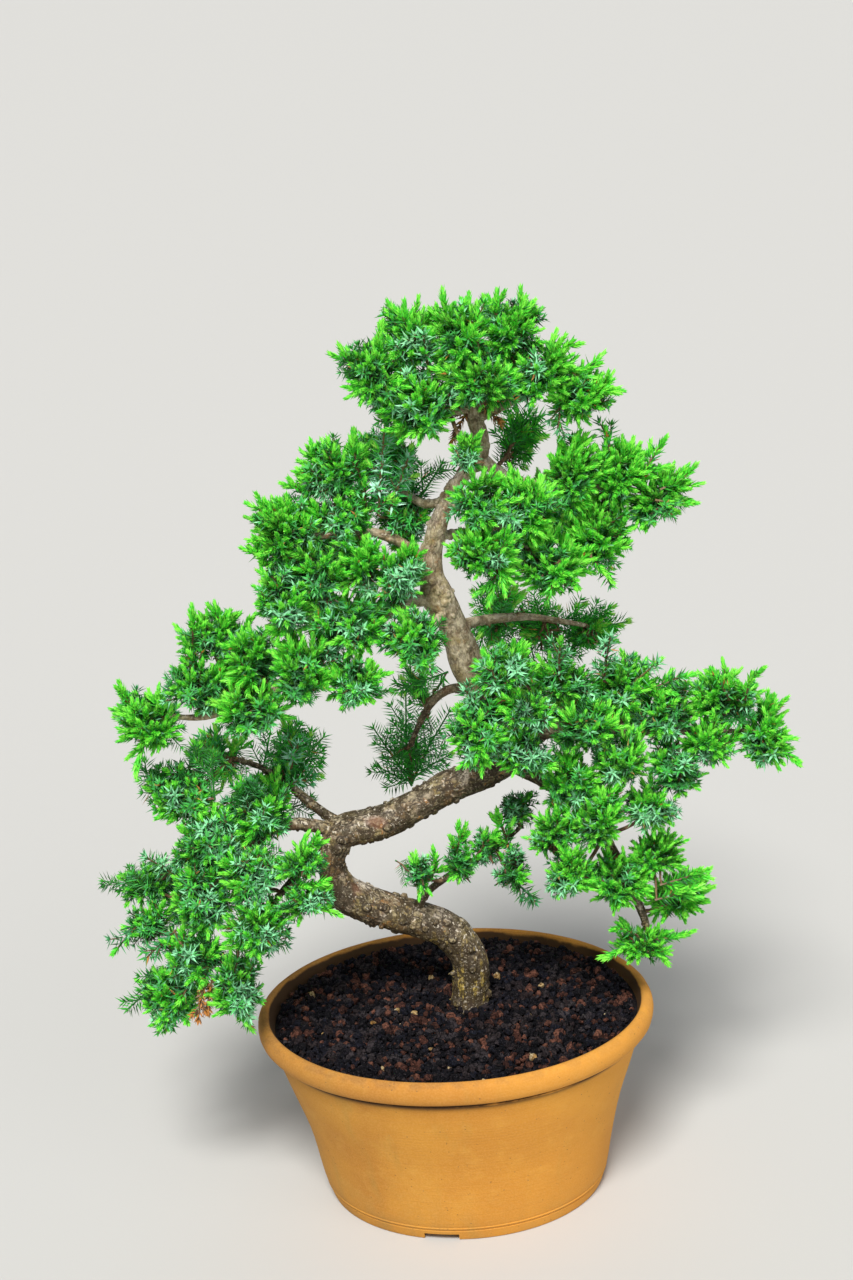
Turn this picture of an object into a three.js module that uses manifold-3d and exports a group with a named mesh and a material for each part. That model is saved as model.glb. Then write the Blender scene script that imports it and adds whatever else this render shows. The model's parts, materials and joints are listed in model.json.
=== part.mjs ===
// Juniper bonsai with a bent, S-shaped trunk, growing in an oval terracotta pot.
// Units are millimetres and +Z is up. The origin is the centre of the pot's foot, on the
// surface the pot stands on; +X runs along the pot's long side and -Y is the front.
//
// The pot is a thrown oval vessel: a rolled rim band, a wall that draws in towards a foot
// ring, a raised floor with two drain holes, and drain notches cut through the foot ring.
// A plastic mesh covers each drain hole under the soil bed. The trunk rises from the soil,
// swings to the left, doubles back to the right and then climbs to the apex; each branch is
// a tapered limb that starts at the trunk's bark and ends inside the foliage it carries.
// Each foliage pad is one closed volume: the space that its shoots and needles fill.
import * as THREE from 'three';
import { mergeVertices } from 'three/addons/utils/BufferGeometryUtils.js';
import Module from 'manifold-3d';

const wasm = await Module();
wasm.setup();

// ---------------------------------------------------------------- driving dimensions (mm)
const GAP = 0.35;                 // clearance between touching pieces
const RIM_HALF_LENGTH = 120;      // oval pot, outside of the rim, along X
const RIM_HALF_WIDTH = 99.6;      // along Y
const RIM_HEIGHT = 121.4;
const FOOT_HALF_LENGTH = 84.4;
const FOOT_HALF_WIDTH = 71.8;
const FOOT_RING_WIDTH = 8.4;
const FLOOR_UNDERSIDE = 6;
const FLOOR_TOP = 14;
const DRAIN_RADIUS = 9;
const DRAIN_OFFSET = 38;          // each drain hole's distance from the centre, along X
const NOTCH_WIDTH = 21;
const NOTCH_HEIGHT = 4.5;
const NOTCH_OFFSET = 12;          // the front notch sits left of centre, the rear one right
const SCREEN_SIZE = 30;
const SCREEN_THICKNESS = 1.2;
const SCREEN_OPENING = 6;
const SCREEN_PITCH = 9;
const SOIL_EDGE_HEIGHT = 115.8;    // top of the soil at the pot's wall
const SOIL_CROWN_HEIGHT = 118;    // top of the soil round the trunk
const OVAL_SEGMENTS = 36;
const TRUNK_SIDES = 8;
const BRANCH_SIDES = 5;

// Pot outline, [radius along X, height], from the middle of the underside, round the
// foot, up the outside, over the rim and down the inside to the middle of the floor.
const POT_PROFILE = [
  [0, FLOOR_UNDERSIDE], [FOOT_HALF_LENGTH - FOOT_RING_WIDTH - 1.5, FLOOR_UNDERSIDE],
  [FOOT_HALF_LENGTH - FOOT_RING_WIDTH, 0], [FOOT_HALF_LENGTH, 0],
  [88.8, 16], [91.6, 32], [95.8, 52], [105.4, 82], [113.0, 106.0],
  [117.6, 107.2], [RIM_HALF_LENGTH, 114],
  [118.8, 119.6], [116.4, RIM_HEIGHT], [113.4, 120.2], [112.3, 117.2],
  [98.6, 82], [89.0, 52], [84.6, 32], [80.5, 18], [73, FLOOR_TOP],
  [0, FLOOR_TOP],
];

// Soil bed outline, the pot's inside less the clearance, with a low crown at the middle.
const SOIL_PROFILE = [
  [0, FLOOR_TOP + GAP], [72.8, FLOOR_TOP + GAP], [80.1, 18.3], [84.2, 32.1],
  [88.6, 52.1], [98.2, 82.1], [111.1, SOIL_EDGE_HEIGHT],
  [98, SOIL_EDGE_HEIGHT + 0.8], [50, SOIL_CROWN_HEIGHT - 0.3], [0, SOIL_CROWN_HEIGHT],
];

// Trunk centre line, [x, y, z, radius], from the buried root base to the apex.
const TRUNK = [
  [7, 6.6, 85, 14.7],
  [8, 6.7, 100.3, 13.5],
  [8.9, 6.8, 114, 11.6],
  [10.3, 7.4, 126, 10.9],
  [10.7, 8, 141.4, 11.5],
  [6.8, 8.1, 155.1, 11.5],
  [-1.6, 7.9, 165.7, 11.5],
  [-13.7, 6.8, 172.8, 11.1],
  [-25.3, 5.3, 177.4, 10.8],
  [-36.9, 3.8, 183.4, 10.5],
  [-48.9, 1.2, 189.2, 10.8],
  [-58.3, -1.1, 196.1, 10.8],
  [-64.5, -2.6, 206.4, 9.2],
  [-65.9, -3.8, 216.9, 8],
  [-63.7, -3.6, 228.5, 8.9],
  [-59, -2.1, 236.1, 10.1],
  [-52.3, -0.6, 239, 10.6],
  [-44.1, 1.2, 239.7, 10.4],
  [-32.9, 4.1, 241.1, 10.1],
  [-20.8, 7.2, 245.7, 9.8],
  [-7, 11.4, 251.5, 9.5],
  [5.7, 15.6, 256.9, 9.8],
  [17, 18.6, 259.6, 9.5],
  [28.5, 21.6, 262.9, 9.5],
  [39.5, 23.5, 268.6, 9.5],
  [46, 24.1, 279, 9.2],
  [45.1, 23, 293, 9.1],
  [38.9, 20.5, 305.8, 9.4],
  [31, 17.8, 317.4, 9.6],
  [24.1, 15.2, 327.5, 9.6],
  [18.7, 11.7, 347.2, 9],
  [14.3, 8.3, 364.7, 8.1],
  [8.5, 5.8, 379.4, 9.2],
  [6.1, 4.5, 392.1, 7.1],
  [6.5, 3.6, 405, 6.2],
  [9.6, 3.9, 416.7, 6.2],
  [13.1, 4.2, 426.6, 5.1],
  [17.1, 5.5, 436, 4.2],
  [22.8, 7, 444.6, 4.2],
  [29.5, 7.6, 452.3, 4.5],
  [37.4, 8.3, 461, 5],
  [38.7, 7.4, 472.3, 5],
  [36.6, 6.2, 482.6, 4.7],
  [34.6, 3, 492.2, 3.9],
  [36.3, -1.8, 504.8, 3],
  [40, -4.5, 518.3, 2.2],
  [42.9, -5.3, 527.9, 1.4],
];

// Branch centre lines, [x, y, z, radius]; each starts inside the trunk, which trims it.
const BRANCHES = {
  branch_left_low: [
    [-60.6, -2.3, 238.2, 4.4],
    [-73.1, -3.4, 243.2, 4.1],
    [-92.1, -3, 244.5, 3.8],
    [-108.2, -4.4, 237.5, 3.3],
    [-121.5, -14.6, 222, 2.7],
    [-134.6, -20.8, 202.7, 2.1],
    [-143.7, -26.6, 182.9, 1.5],
  ],
  branch_left_low_rear: [
    [-53.5, -0.7, 239.1, 3.8],
    [-70.4, 7.9, 247, 3],
    [-88.1, 16.4, 259.6, 2.4],
    [-105.2, 18.9, 272.4, 1.8],
    [-122.1, 16.4, 280.7, 1.2],
  ],
  branch_left_low_front: [
    [-63.9, -3.6, 225.9, 3.3],
    [-75.1, -16.6, 226.1, 2.6],
    [-86.9, -27.7, 220.3, 2],
    [-101.9, -35, 201.8, 1.8],
    [-109.8, -36.7, 180.1, 1.2],
  ],
  branch_left_mid: [
    [8.5, 5.8, 379.4, 4.6],
    [-9.9, -1.9, 379.4, 3.7],
    [-30.2, -9.7, 370, 3.4],
    [-53.6, -15.7, 358.2, 3.1],
    [-77.5, -19.8, 342.7, 2.9],
    [-104.9, -19.2, 329.6, 2.6],
    [-132.1, -17.6, 321.6, 2],
    [-153.2, -13.4, 321.5, 1.4],
  ],
  branch_left_upper: [
    [6.3, 4.6, 395.1, 3.7],
    [-7.9, 4.3, 412.1, 3.1],
    [-26.6, -0.3, 422.4, 2.8],
    [-51.5, -6.5, 424, 2.3],
    [-69.9, -11.1, 422.4, 1.4],
  ],
  branch_left_upper_rear: [
    [17.1, 5.5, 436, 3.1],
    [2.9, 13.3, 433.7, 2.6],
    [-10.5, 19.2, 442.8, 2],
    [-15.5, 22.7, 456.2, 1.1],
  ],
  branch_centre_left: [
    [12.4, 7.1, 370.8, 2.9],
    [7.1, -11.4, 370.5, 2.3],
    [-2.1, -24.3, 366.1, 1.4],
  ],
  branch_right_mid_rear: [
    [15.6, 9.4, 359.3, 3.5],
    [33, 29, 355.6, 2.9],
    [58.7, 45.3, 350.1, 2.1],
    [90.6, 54.1, 340.2, 1.2],
  ],
  branch_right_upper: [
    [37.4, 8.3, 461, 3.6],
    [52.9, 5.6, 448.1, 3.4],
    [79, 3.9, 441.3, 2.8],
    [107, 5.3, 440.5, 2.2],
    [129.1, 6.3, 435.5, 1.4],
  ],
  branch_right_upper_front: [
    [17.8, 5.6, 437.1, 3.1],
    [32.5, -11.2, 434.5, 2.5],
    [47.9, -19.9, 426, 1.9],
    [62.7, -19.6, 414.5, 1.1],
  ],
  branch_rear_upper: [
    [9.6, 3.9, 416.7, 3.1],
    [26.7, 30.4, 409.5, 2.6],
    [50.1, 52.6, 405.3, 1.8],
    [70.3, 62.4, 404.1, 1.2],
  ],
  branch_apex_left: [
    [35.1, 3.1, 490.4, 3.1],
    [19.3, -2.3, 491.1, 2.5],
    [4.1, -9.7, 504.8, 1.9],
    [-9.5, -13.9, 518, 1.1],
  ],
  branch_apex_right: [
    [36.6, 6.2, 482.6, 3.1],
    [53.9, 4.7, 490.6, 2.5],
    [76.8, 0.7, 500.1, 1.9],
    [93.1, 0.1, 497, 1.1],
  ],
  branch_centre_rear: [
    [31, 17.8, 317.4, 3.8],
    [7.9, 34.8, 310.5, 2.7],
    [-5.6, 43.7, 296, 2.1],
    [-18.5, 46.6, 271.3, 1.2],
  ],
  branch_mid_front: [
    [45.8, 24.1, 284.2, 4.1],
    [46.4, 0, 302.4, 3.2],
    [45.6, -18.1, 318.6, 2],
  ],
  branch_right_mid: [
    [45.2, 24, 275.9, 5.3],
    [67.4, 15.9, 289.1, 4.4],
    [96.8, 11.5, 291.4, 3.8],
    [125.8, 11, 289, 3.2],
    [154.9, 15.6, 285, 2.3],
    [182.9, 18, 282.6, 1.2],
  ],
  branch_right_low: [
    [39.5, 23.5, 268.6, 5],
    [62.7, 13.5, 257.7, 4.1],
    [82.8, 3.2, 246.5, 3.5],
    [97.1, -2.6, 225.9, 3.2],
    [108.8, -2.5, 199.3, 3],
    [116.6, -3.9, 176.6, 2.4],
    [120.1, -4.6, 161.5, 1.5],
  ],
  branch_rear_mid: [
    [41.6, 21.7, 302.6, 3.8],
    [56.4, 47.1, 292.8, 2.7],
    [84.4, 67.6, 279.2, 1.5],
  ],
  branch_low_twig: [
    [-21.9, 6.1, 176.2, 3],
    [-11.3, 2, 193.8, 2.4],
    [6.8, -2.4, 209.1, 1.8],
    [28.1, 2.5, 218.9, 1.5],
    [48, 4.2, 234.1, 1.2],
  ],
};

// Foliage pads: each is a cluster of egg-shaped tufts,
// [x, y, z, half-length, half-height, half-depth, tilt in degrees about Y].
const PADS = {
  foliage_apex_left: [
    [4, -5.2, 532.2, 24.2, 19.4, 21.8, -90],
    [-16, -21.1, 520.2, 24.2, 17.6, 20.9, -62.2],
    [6.9, -16.8, 499.2, 23.9, 21.9, 22.9, 36.4],
  ],
  foliage_apex_crown: [
    [31.8, -12.4, 535, 24.5, 18.2, 21.3, 79.1],
    [59.9, -0.5, 534.1, 22.7, 20.1, 21.4, -72.4],
    [45.2, -25.4, 512.2, 22.1, 19.8, 20.9, -24.5],
  ],
  foliage_apex_right: [
    [76.1, -8.2, 510.9, 23.3, 17.9, 20.6, 54.7],
    [97, -1.7, 495.3, 22.1, 18.2, 20.2, 33.5],
  ],
  foliage_apex_rear: [
    [63.8, 47.9, 461, 25.5, 18, 21.8, 75.5],
    [41.8, 46, 497.3, 28.7, 26, 27.4, -4.5],
    [26.2, 30.5, 515.8, 17.5, 14.8, 16.2, -4.5],
  ],
  foliage_right_upper_front: [
    [29.8, -34.8, 452, 24.8, 20.7, 22.7, -34.2],
    [61.9, -24.9, 440.9, 23, 21.5, 22.3, -58.3],
    [33.1, -29.8, 472, 9.8, 15.7, 16, -4.5],
  ],
  foliage_right_upper_low: [
    [39.7, -41.2, 419.5, 23.3, 20.7, 22, -15.2],
    [73.6, -24.1, 406.3, 25.1, 21.5, 23.3, 1.5],
  ],
  foliage_right_upper_outer: [
    [91.4, -1.9, 450.3, 25.3, 18.5, 21.9, 77.3],
    [116.2, 7.4, 446.9, 22.7, 18.8, 20.7, 74.5],
    [136.2, 6.8, 431.9, 25, 17.5, 21.2, 51.3],
    [104.1, -0.7, 415.5, 25.3, 22.8, 24.1, -72],
  ],
  foliage_right_mid_rear: [
    [37.7, 53.8, 350.5, 24.5, 20.5, 22.5, 72],
    [64, 60.8, 339, 23.2, 19.8, 21.5, -82.9],
    [94.8, 68.2, 333.1, 22.5, 20.6, 21.5, 51.1],
  ],
  foliage_left_upper_rear: [
    [-14.8, 28.7, 455.5, 23.3, 21.3, 22.3, 85.4],
    [-9.8, 24.4, 424.1, 24, 22.3, 23.1, -63.1],
  ],
  foliage_left_upper: [
    [-45.2, 0.7, 458.5, 25.8, 19.3, 22.6, 30.3],
    [-44.2, -3.9, 434.7, 24, 18.5, 21.2, 10.1],
    [-73.6, -13.6, 429.6, 26.1, 21.1, 23.6, 74.1],
  ],
  foliage_left_upper_low: [
    [-54.2, -22.1, 406.7, 21.3, 18.1, 19.7, -77.1],
    [-31.7, -13.1, 408.7, 21.2, 15.8, 18.5, 77.6],
    [-12.8, -16.1, 400.2, 23.7, 17.4, 20.5, 65.1],
  ],
  foliage_left_mid_upper: [
    [-74.5, -31.5, 391.4, 25.5, 17.7, 21.6, -64.8],
    [-41.1, -23.8, 376.4, 25, 20.4, 22.7, 9.2],
  ],
  foliage_centre_left: [
    [-2.5, -37.9, 370.4, 22.3, 21.3, 21.8, -28.4],
  ],
  foliage_left_mid_tip: [
    [-163.2, -14.3, 320.1, 27.6, 22.9, 25.2, -61],
  ],
  foliage_left_mid: [
    [-122.9, -6.2, 366.3, 22.6, 17, 19.8, 16.9],
    [-99.3, -20.6, 358.5, 21.8, 18.2, 20, 72.8],
    [-130.9, -18.7, 341.8, 22.6, 20.1, 21.4, -18.4],
    [-101.9, -32.7, 331.3, 22.8, 20.5, 21.7, 10.9],
    [-113.9, 15.8, 329.5, 26.8, 22.6, 24.7, -4.5],
  ],
  foliage_left_mid_front: [
    [-67.2, -43.4, 356.6, 26.5, 18.6, 22.6, 75.7],
    [-40, -36.3, 345.7, 21.6, 16.9, 19.3, 35.5],
  ],
  foliage_left_low_rear: [
    [-128.8, 19.1, 280.4, 26.5, 20.7, 23.6, -26.6],
    [-90.8, 29.5, 273.8, 26.4, 22.4, 24.4, 40.9],
  ],
  foliage_left_low_upper: [
    [-150.7, -3.4, 267.1, 26.5, 20.5, 23.5, -34.1],
    [-107.2, -6.6, 257.6, 24.7, 24.1, 24.4, 24.9],
  ],
  foliage_left_low: [
    [-136.3, -20.1, 243, 25.4, 19.8, 22.6, 37.4],
    [-110.8, -36.7, 229.5, 22.8, 20.5, 21.7, 80.1],
    [-141.6, -30, 211.3, 23.2, 20, 21.6, -86.8],
  ],
  foliage_left_low_front: [
    [-77.3, -44.5, 237.8, 21.8, 15.8, 18.8, 2.9],
    [-78.6, -47, 216.7, 24.8, 13.1, 19, 14],
  ],
  foliage_left_low_outer: [
    [-180.1, 8.8, 205.8, 29.6, 17.2, 23.4, 9.3],
    [-179.3, -7.6, 186, 23.8, 17.5, 20.7, 32],
  ],
  foliage_left_low_drop: [
    [-110, -49.1, 197.5, 22, 20.6, 21.3, -78.1],
    [-148.8, -38.3, 176.7, 22.2, 19.7, 21, -32.8],
    [-166.3, -32.8, 148.9, 23.5, 22.4, 23, -64],
    [-124.9, -43.3, 159.3, 27, 17.6, 22.3, -75.9],
  ],
  foliage_centre_rear: [
    [-7.2, 52.3, 297, 26.6, 21.8, 24.2, 20.2],
    [-23.3, 58, 263.6, 25.6, 22.6, 24.1, -48.9],
  ],
  foliage_right_mid_inner: [
    [45.6, -24.1, 342.1, 23.2, 19.4, 21.3, 49.3],
    [28.5, -35, 312.9, 24.1, 20.5, 22.3, 88.6],
    [58.4, -37.1, 323.5, 20.2, 16, 18.1, -22.6],
    [54.2, -28, 295.6, 19.5, 17, 18.2, -21.1],
  ],
  foliage_right_mid_top: [
    [79.8, -0.5, 326.2, 22.5, 15.9, 19.2, -37.3],
    [90.9, -16.1, 304.2, 22, 18.8, 20.4, 26.6],
    [111.4, 11.7, 317, 22.6, 21.6, 22.1, 43],
    [134.3, 11.3, 300.1, 22.1, 19.6, 20.8, 44.3],
  ],
  foliage_right_mid_outer: [
    [170.6, 22, 302.3, 24.6, 17.9, 21.2, -17.4],
    [191.8, 16.8, 280.3, 24.2, 18.9, 21.5, -64.2],
    [162.5, 9.6, 281.1, 20.6, 16.8, 18.7, -32.5],
  ],
  foliage_right_low_upper: [
    [110.4, -12.5, 279.8, 22.5, 18.1, 20.3, 55.3],
    [139.6, 4.2, 266.5, 21.9, 17, 19.4, -53],
    [124.3, -4.2, 248, 20.8, 17.7, 19.2, -22.2],
  ],
  foliage_right_low_inner: [
    [77.7, -11.2, 267.3, 20.9, 19.3, 20.1, 66.6],
    [93.5, -24, 248.2, 22.8, 16.9, 19.9, 63.2],
    [67.9, -19.2, 240.2, 20.3, 16.8, 18.5, 49],
  ],
  foliage_right_low_front: [
    [76.6, -28.1, 216.4, 19.2, 18.1, 18.6, 32.9],
    [103.1, -13.9, 204.6, 21.4, 18.4, 19.9, -33.6],
  ],
  foliage_right_low_outer: [
    [127.3, -1.2, 213.5, 19.3, 17.8, 18.6, 3.4],
    [138.3, 6.9, 184.6, 24, 17.1, 20.5, 20.1],
  ],
  foliage_right_low_tip: [
    [116.3, -8.6, 159.2, 29.9, 17.8, 23.9, -2.5],
  ],
  foliage_low_twig: [
    [43.6, 8.2, 240.2, 23.7, 15.9, 19.8, 65.6],
    [26.4, 2, 223.9, 17.2, 15.9, 16.6, -41.9],
    [40.2, -8.6, 211, 20.7, 15.7, 18.2, 67.3],
    [11.4, -6.4, 215.7, 16.2, 14.6, 16, 63.7],
    [-10.4, -10.7, 214.6, 12, 19.1, 16, -4.5],
  ],
  foliage_rear_upper: [
    [78.8, 67.2, 413.6, 28.2, 25.4, 26.8, -4.5],
    [52.4, 67.2, 388.8, 27, 24.2, 25.6, -4.5],
  ],
  foliage_rear_left: [
    [-56.9, 50.3, 398.6, 29.7, 25.4, 27.5, -4.5],
    [-76.1, 51, 372.9, 25.6, 22.8, 24.2, -4.5],
  ],
  foliage_rear_left_low: [
    [-136.3, 45.3, 209.5, 28.1, 25.1, 26.6, -4.5],
    [-153.2, 29.7, 182.7, 25, 23.6, 24.3, -4.5],
  ],
  foliage_rear_mid: [
    [64.3, 73.3, 280.4, 27.8, 23.4, 25.6, -4.5],
    [100.1, 74.1, 275.8, 29.2, 23.4, 26.3, -4.5],
  ],
};

// ------------------------------------------------------------------------------- materials
const finish = (color, roughness, metalness = 0) =>
  new THREE.MeshStandardMaterial({ color, roughness, metalness });
const TERRACOTTA = () => finish(0xc8802e, 0.82);
const SOIL = () => finish(0x2b2730, 0.95);
const BARK = () => finish(0x8c7460, 0.9);
const TWIG = () => finish(0x7d6450, 0.9);
const MESH_PLASTIC = () => finish(0x1d1f1e, 0.6);
const NEEDLES = (shade) => finish(shade, 0.7);

// --------------------------------------------------------------------------------- helpers
// Turns a closed geometry into a solid, with shared vertices merged, collapsed faces
// dropped and the faces turned outwards.
function solid(geometry) {
  const g = geometry.clone();
  for (const name of Object.keys(g.attributes)) if (name !== 'position') g.deleteAttribute(name);
  const merged = mergeVertices(g, 1e-4);
  const p = merged.attributes.position.array;
  const source = merged.index.array;
  const tris = [];
  for (let i = 0; i < source.length; i += 3) {
    const [a, b, c] = [source[i], source[i + 1], source[i + 2]];
    if (a !== b && b !== c && a !== c) tris.push(a, b, c);
  }
  let volume = 0;
  const A = new THREE.Vector3(), B = new THREE.Vector3(), C = new THREE.Vector3();
  for (let i = 0; i < tris.length; i += 3) {
    A.fromArray(p, 3 * tris[i]); B.fromArray(p, 3 * tris[i + 1]); C.fromArray(p, 3 * tris[i + 2]);
    volume += A.dot(B.clone().cross(C));
  }
  if (volume < 0) for (let i = 0; i < tris.length; i += 3) [tris[i], tris[i + 1]] = [tris[i + 1], tris[i]];
  return new wasm.Manifold(new wasm.Mesh({
    numProp: 3, vertProperties: Float32Array.from(p), triVerts: Uint32Array.from(tris),
  }));
}

// Keeps the largest body, dropping loose flakes that a cut can leave behind.
function largest(manifold) {
  const bodies = manifold.decompose();
  let best = bodies[0];
  for (const body of bodies) if (body.volume() > best.volume()) best = body;
  return best;
}

function toGeometry(manifold) {
  const m = manifold.getMesh();
  const g = new THREE.BufferGeometry();
  g.setAttribute('position', new THREE.BufferAttribute(Float32Array.from(m.vertProperties), 3));
  g.setIndex(Array.from(m.triVerts));
  g.computeVertexNormals();
  return g;
}

function mesh(name, geometry, material) {
  const m = new THREE.Mesh(geometry, material);
  m.name = name;
  return m;
}

// An oval turned body: a lathe about +Z whose width along Y is a share of its length
// along X, a share that runs evenly from the foot to the rim.
function oval(profile, segments) {
  const g = new THREE.LatheGeometry(profile.map(([r, z]) => new THREE.Vector2(r, z)), segments);
  g.rotateX(Math.PI / 2);
  const p = g.attributes.position;
  for (let i = 0; i < p.count; i++) {
    const share = THREE.MathUtils.lerp(
      FOOT_HALF_WIDTH / FOOT_HALF_LENGTH, RIM_HALF_WIDTH / RIM_HALF_LENGTH, p.getZ(i) / RIM_HEIGHT);
    p.setY(i, p.getY(i) * share);
  }
  return g;
}

// A limb: a closed cylinder bent along a smooth curve through the points, with its radius
// following theirs. grow adds to the radius and to both ends, to cut a clearance.
function limb(points, sides, grow = 0, stepLength = 15) {
  const curve = new THREE.CatmullRomCurve3(points.map(([x, y, z]) => new THREE.Vector3(x, y, z)), false, 'centripetal');
  const length = curve.getLength();
  const rings = Math.max(4, Math.round(length / stepLength));
  const frames = curve.computeFrenetFrames(rings, false);
  const g = new THREE.CylinderGeometry(1, 1, 1, sides, rings, false);
  const p = g.attributes.position;
  const spans = points.length - 1;
  for (let i = 0; i < p.count; i++) {
    const ring = Math.round((p.getY(i) + 0.5) * rings);
    const u = ring / rings;
    const centre = curve.getPointAt(u);
    const t = curve.getUtoTmapping(u) * spans;
    const k = Math.min(spans - 1, Math.floor(t));
    const radius = THREE.MathUtils.lerp(points[k][3], points[k + 1][3], t - k) + grow;
    const onAxis = Math.hypot(p.getX(i), p.getZ(i)) < 1e-6;
    const angle = Math.atan2(p.getZ(i), p.getX(i));
    const r = onAxis ? 0 : radius;
    const end = ring === 0 ? -grow : ring === rings ? grow : 0;
    centre.addScaledVector(frames.tangents[ring], end)
      .addScaledVector(frames.normals[ring], r * Math.cos(angle))
      .addScaledVector(frames.binormals[ring], r * Math.sin(angle));
    p.setXYZ(i, centre.x, centre.y, centre.z);
  }
  return solid(g);
}

// One egg-shaped tuft of a foliage pad.
function tuft([x, y, z, halfLength, halfHeight, halfDepth, tilt], grow = 0) {
  const g = new THREE.SphereGeometry(1, 7, 5);
  g.rotateX(Math.PI / 2);
  g.scale(halfLength + grow, halfDepth + grow, halfHeight + grow);
  g.rotateY(-THREE.MathUtils.degToRad(tilt));
  g.translate(x, y, z);
  return solid(g);
}

const pad = (tufts, grow = 0) => wasm.Manifold.union(tufts.map((t) => tuft(t, grow)));

// --------------------------------------------------------------------------------- the pot
const plant = new THREE.Group();

let pot = solid(oval(POT_PROFILE, OVAL_SEGMENTS));
for (const side of [-1, 1]) {
  const drain = new THREE.CylinderGeometry(DRAIN_RADIUS, DRAIN_RADIUS, 30, 16);
  drain.rotateX(Math.PI / 2);
  drain.translate(side * DRAIN_OFFSET, 0, FLOOR_TOP - 5);
  pot = pot.subtract(solid(drain));
  const notch = new THREE.BoxGeometry(NOTCH_WIDTH, 40, NOTCH_HEIGHT * 2);
  notch.translate(side * NOTCH_OFFSET, side * FOOT_HALF_WIDTH, 0);
  pot = pot.subtract(solid(notch));
}
plant.add(mesh('pot', toGeometry(pot), TERRACOTTA()));

// Drainage screens: a square of plastic mesh laid on the floor over each drain hole.
const screenBlocks = [];
for (const [name, side] of [['drain_screen_left', -1], ['drain_screen_right', 1]]) {
  const sheet = new THREE.BoxGeometry(SCREEN_SIZE, SCREEN_SIZE, SCREEN_THICKNESS);
  sheet.translate(side * DRAIN_OFFSET, 0, FLOOR_TOP + GAP + SCREEN_THICKNESS / 2);
  let screen = solid(sheet);
  for (let i = -1; i <= 1; i++) {
    for (let j = -1; j <= 1; j++) {
      const hole = new THREE.BoxGeometry(SCREEN_OPENING, SCREEN_OPENING, 10);
      hole.translate(side * DRAIN_OFFSET + i * SCREEN_PITCH, j * SCREEN_PITCH, FLOOR_TOP);
      screen = screen.subtract(solid(hole));
    }
  }
  plant.add(mesh(name, toGeometry(screen), MESH_PLASTIC()));
  const block = new THREE.BoxGeometry(SCREEN_SIZE + 2 * GAP, SCREEN_SIZE + 2 * GAP, 2 * (SCREEN_THICKNESS + 2 * GAP));
  block.translate(side * DRAIN_OFFSET, 0, FLOOR_TOP);
  screenBlocks.push(solid(block));
}

// -------------------------------------------------------------------------------- the wood
const trunk = limb(TRUNK, TRUNK_SIDES);
const trunkClearance = limb(TRUNK, TRUNK_SIDES, GAP);
plant.add(mesh('trunk', toGeometry(trunk), BARK()));

let soil = solid(oval(SOIL_PROFILE, OVAL_SEGMENTS)).subtract(trunkClearance);
for (const block of screenBlocks) soil = soil.subtract(block);
plant.add(mesh('soil_bed', toGeometry(largest(soil)), SOIL()));

let woodClearance = trunkClearance;
for (const [name, points] of Object.entries(BRANCHES)) {
  const branch = largest(limb(points, BRANCH_SIDES).subtract(woodClearance));
  woodClearance = woodClearance.add(limb(points, BRANCH_SIDES, GAP));
  plant.add(mesh(name, toGeometry(branch), TWIG()));
}

// ----------------------------------------------------------------------------- the foliage
const SHADES = [0x2f8f3c, 0x3aa63f, 0x2c8050, 0x46b548, 0x337f45];
let taken = woodClearance;
let count = 0;
for (const [name, tufts] of Object.entries(PADS)) {
  const body = largest(pad(tufts).subtract(taken));
  taken = taken.add(pad(tufts, GAP));
  plant.add(mesh(name, toGeometry(body), NEEDLES(SHADES[count++ % SHADES.length])));
}

export default plant;
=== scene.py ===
import json
import math
import bpy
import numpy as np
from mathutils import Matrix, Vector


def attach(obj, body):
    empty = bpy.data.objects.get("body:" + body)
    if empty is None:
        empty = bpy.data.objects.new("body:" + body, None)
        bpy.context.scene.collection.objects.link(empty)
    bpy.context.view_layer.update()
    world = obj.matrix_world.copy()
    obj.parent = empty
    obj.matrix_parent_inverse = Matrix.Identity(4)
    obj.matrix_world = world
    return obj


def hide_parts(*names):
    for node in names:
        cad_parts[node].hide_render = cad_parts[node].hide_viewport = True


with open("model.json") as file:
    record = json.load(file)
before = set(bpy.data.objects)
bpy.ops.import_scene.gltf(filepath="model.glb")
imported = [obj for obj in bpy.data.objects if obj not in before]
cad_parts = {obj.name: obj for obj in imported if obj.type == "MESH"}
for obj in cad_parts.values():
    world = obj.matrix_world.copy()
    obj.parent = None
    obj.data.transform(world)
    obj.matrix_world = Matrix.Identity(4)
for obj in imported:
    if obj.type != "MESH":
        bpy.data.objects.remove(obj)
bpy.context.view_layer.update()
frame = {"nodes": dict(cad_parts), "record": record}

SEED = 20611
MM = 0.001

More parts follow.
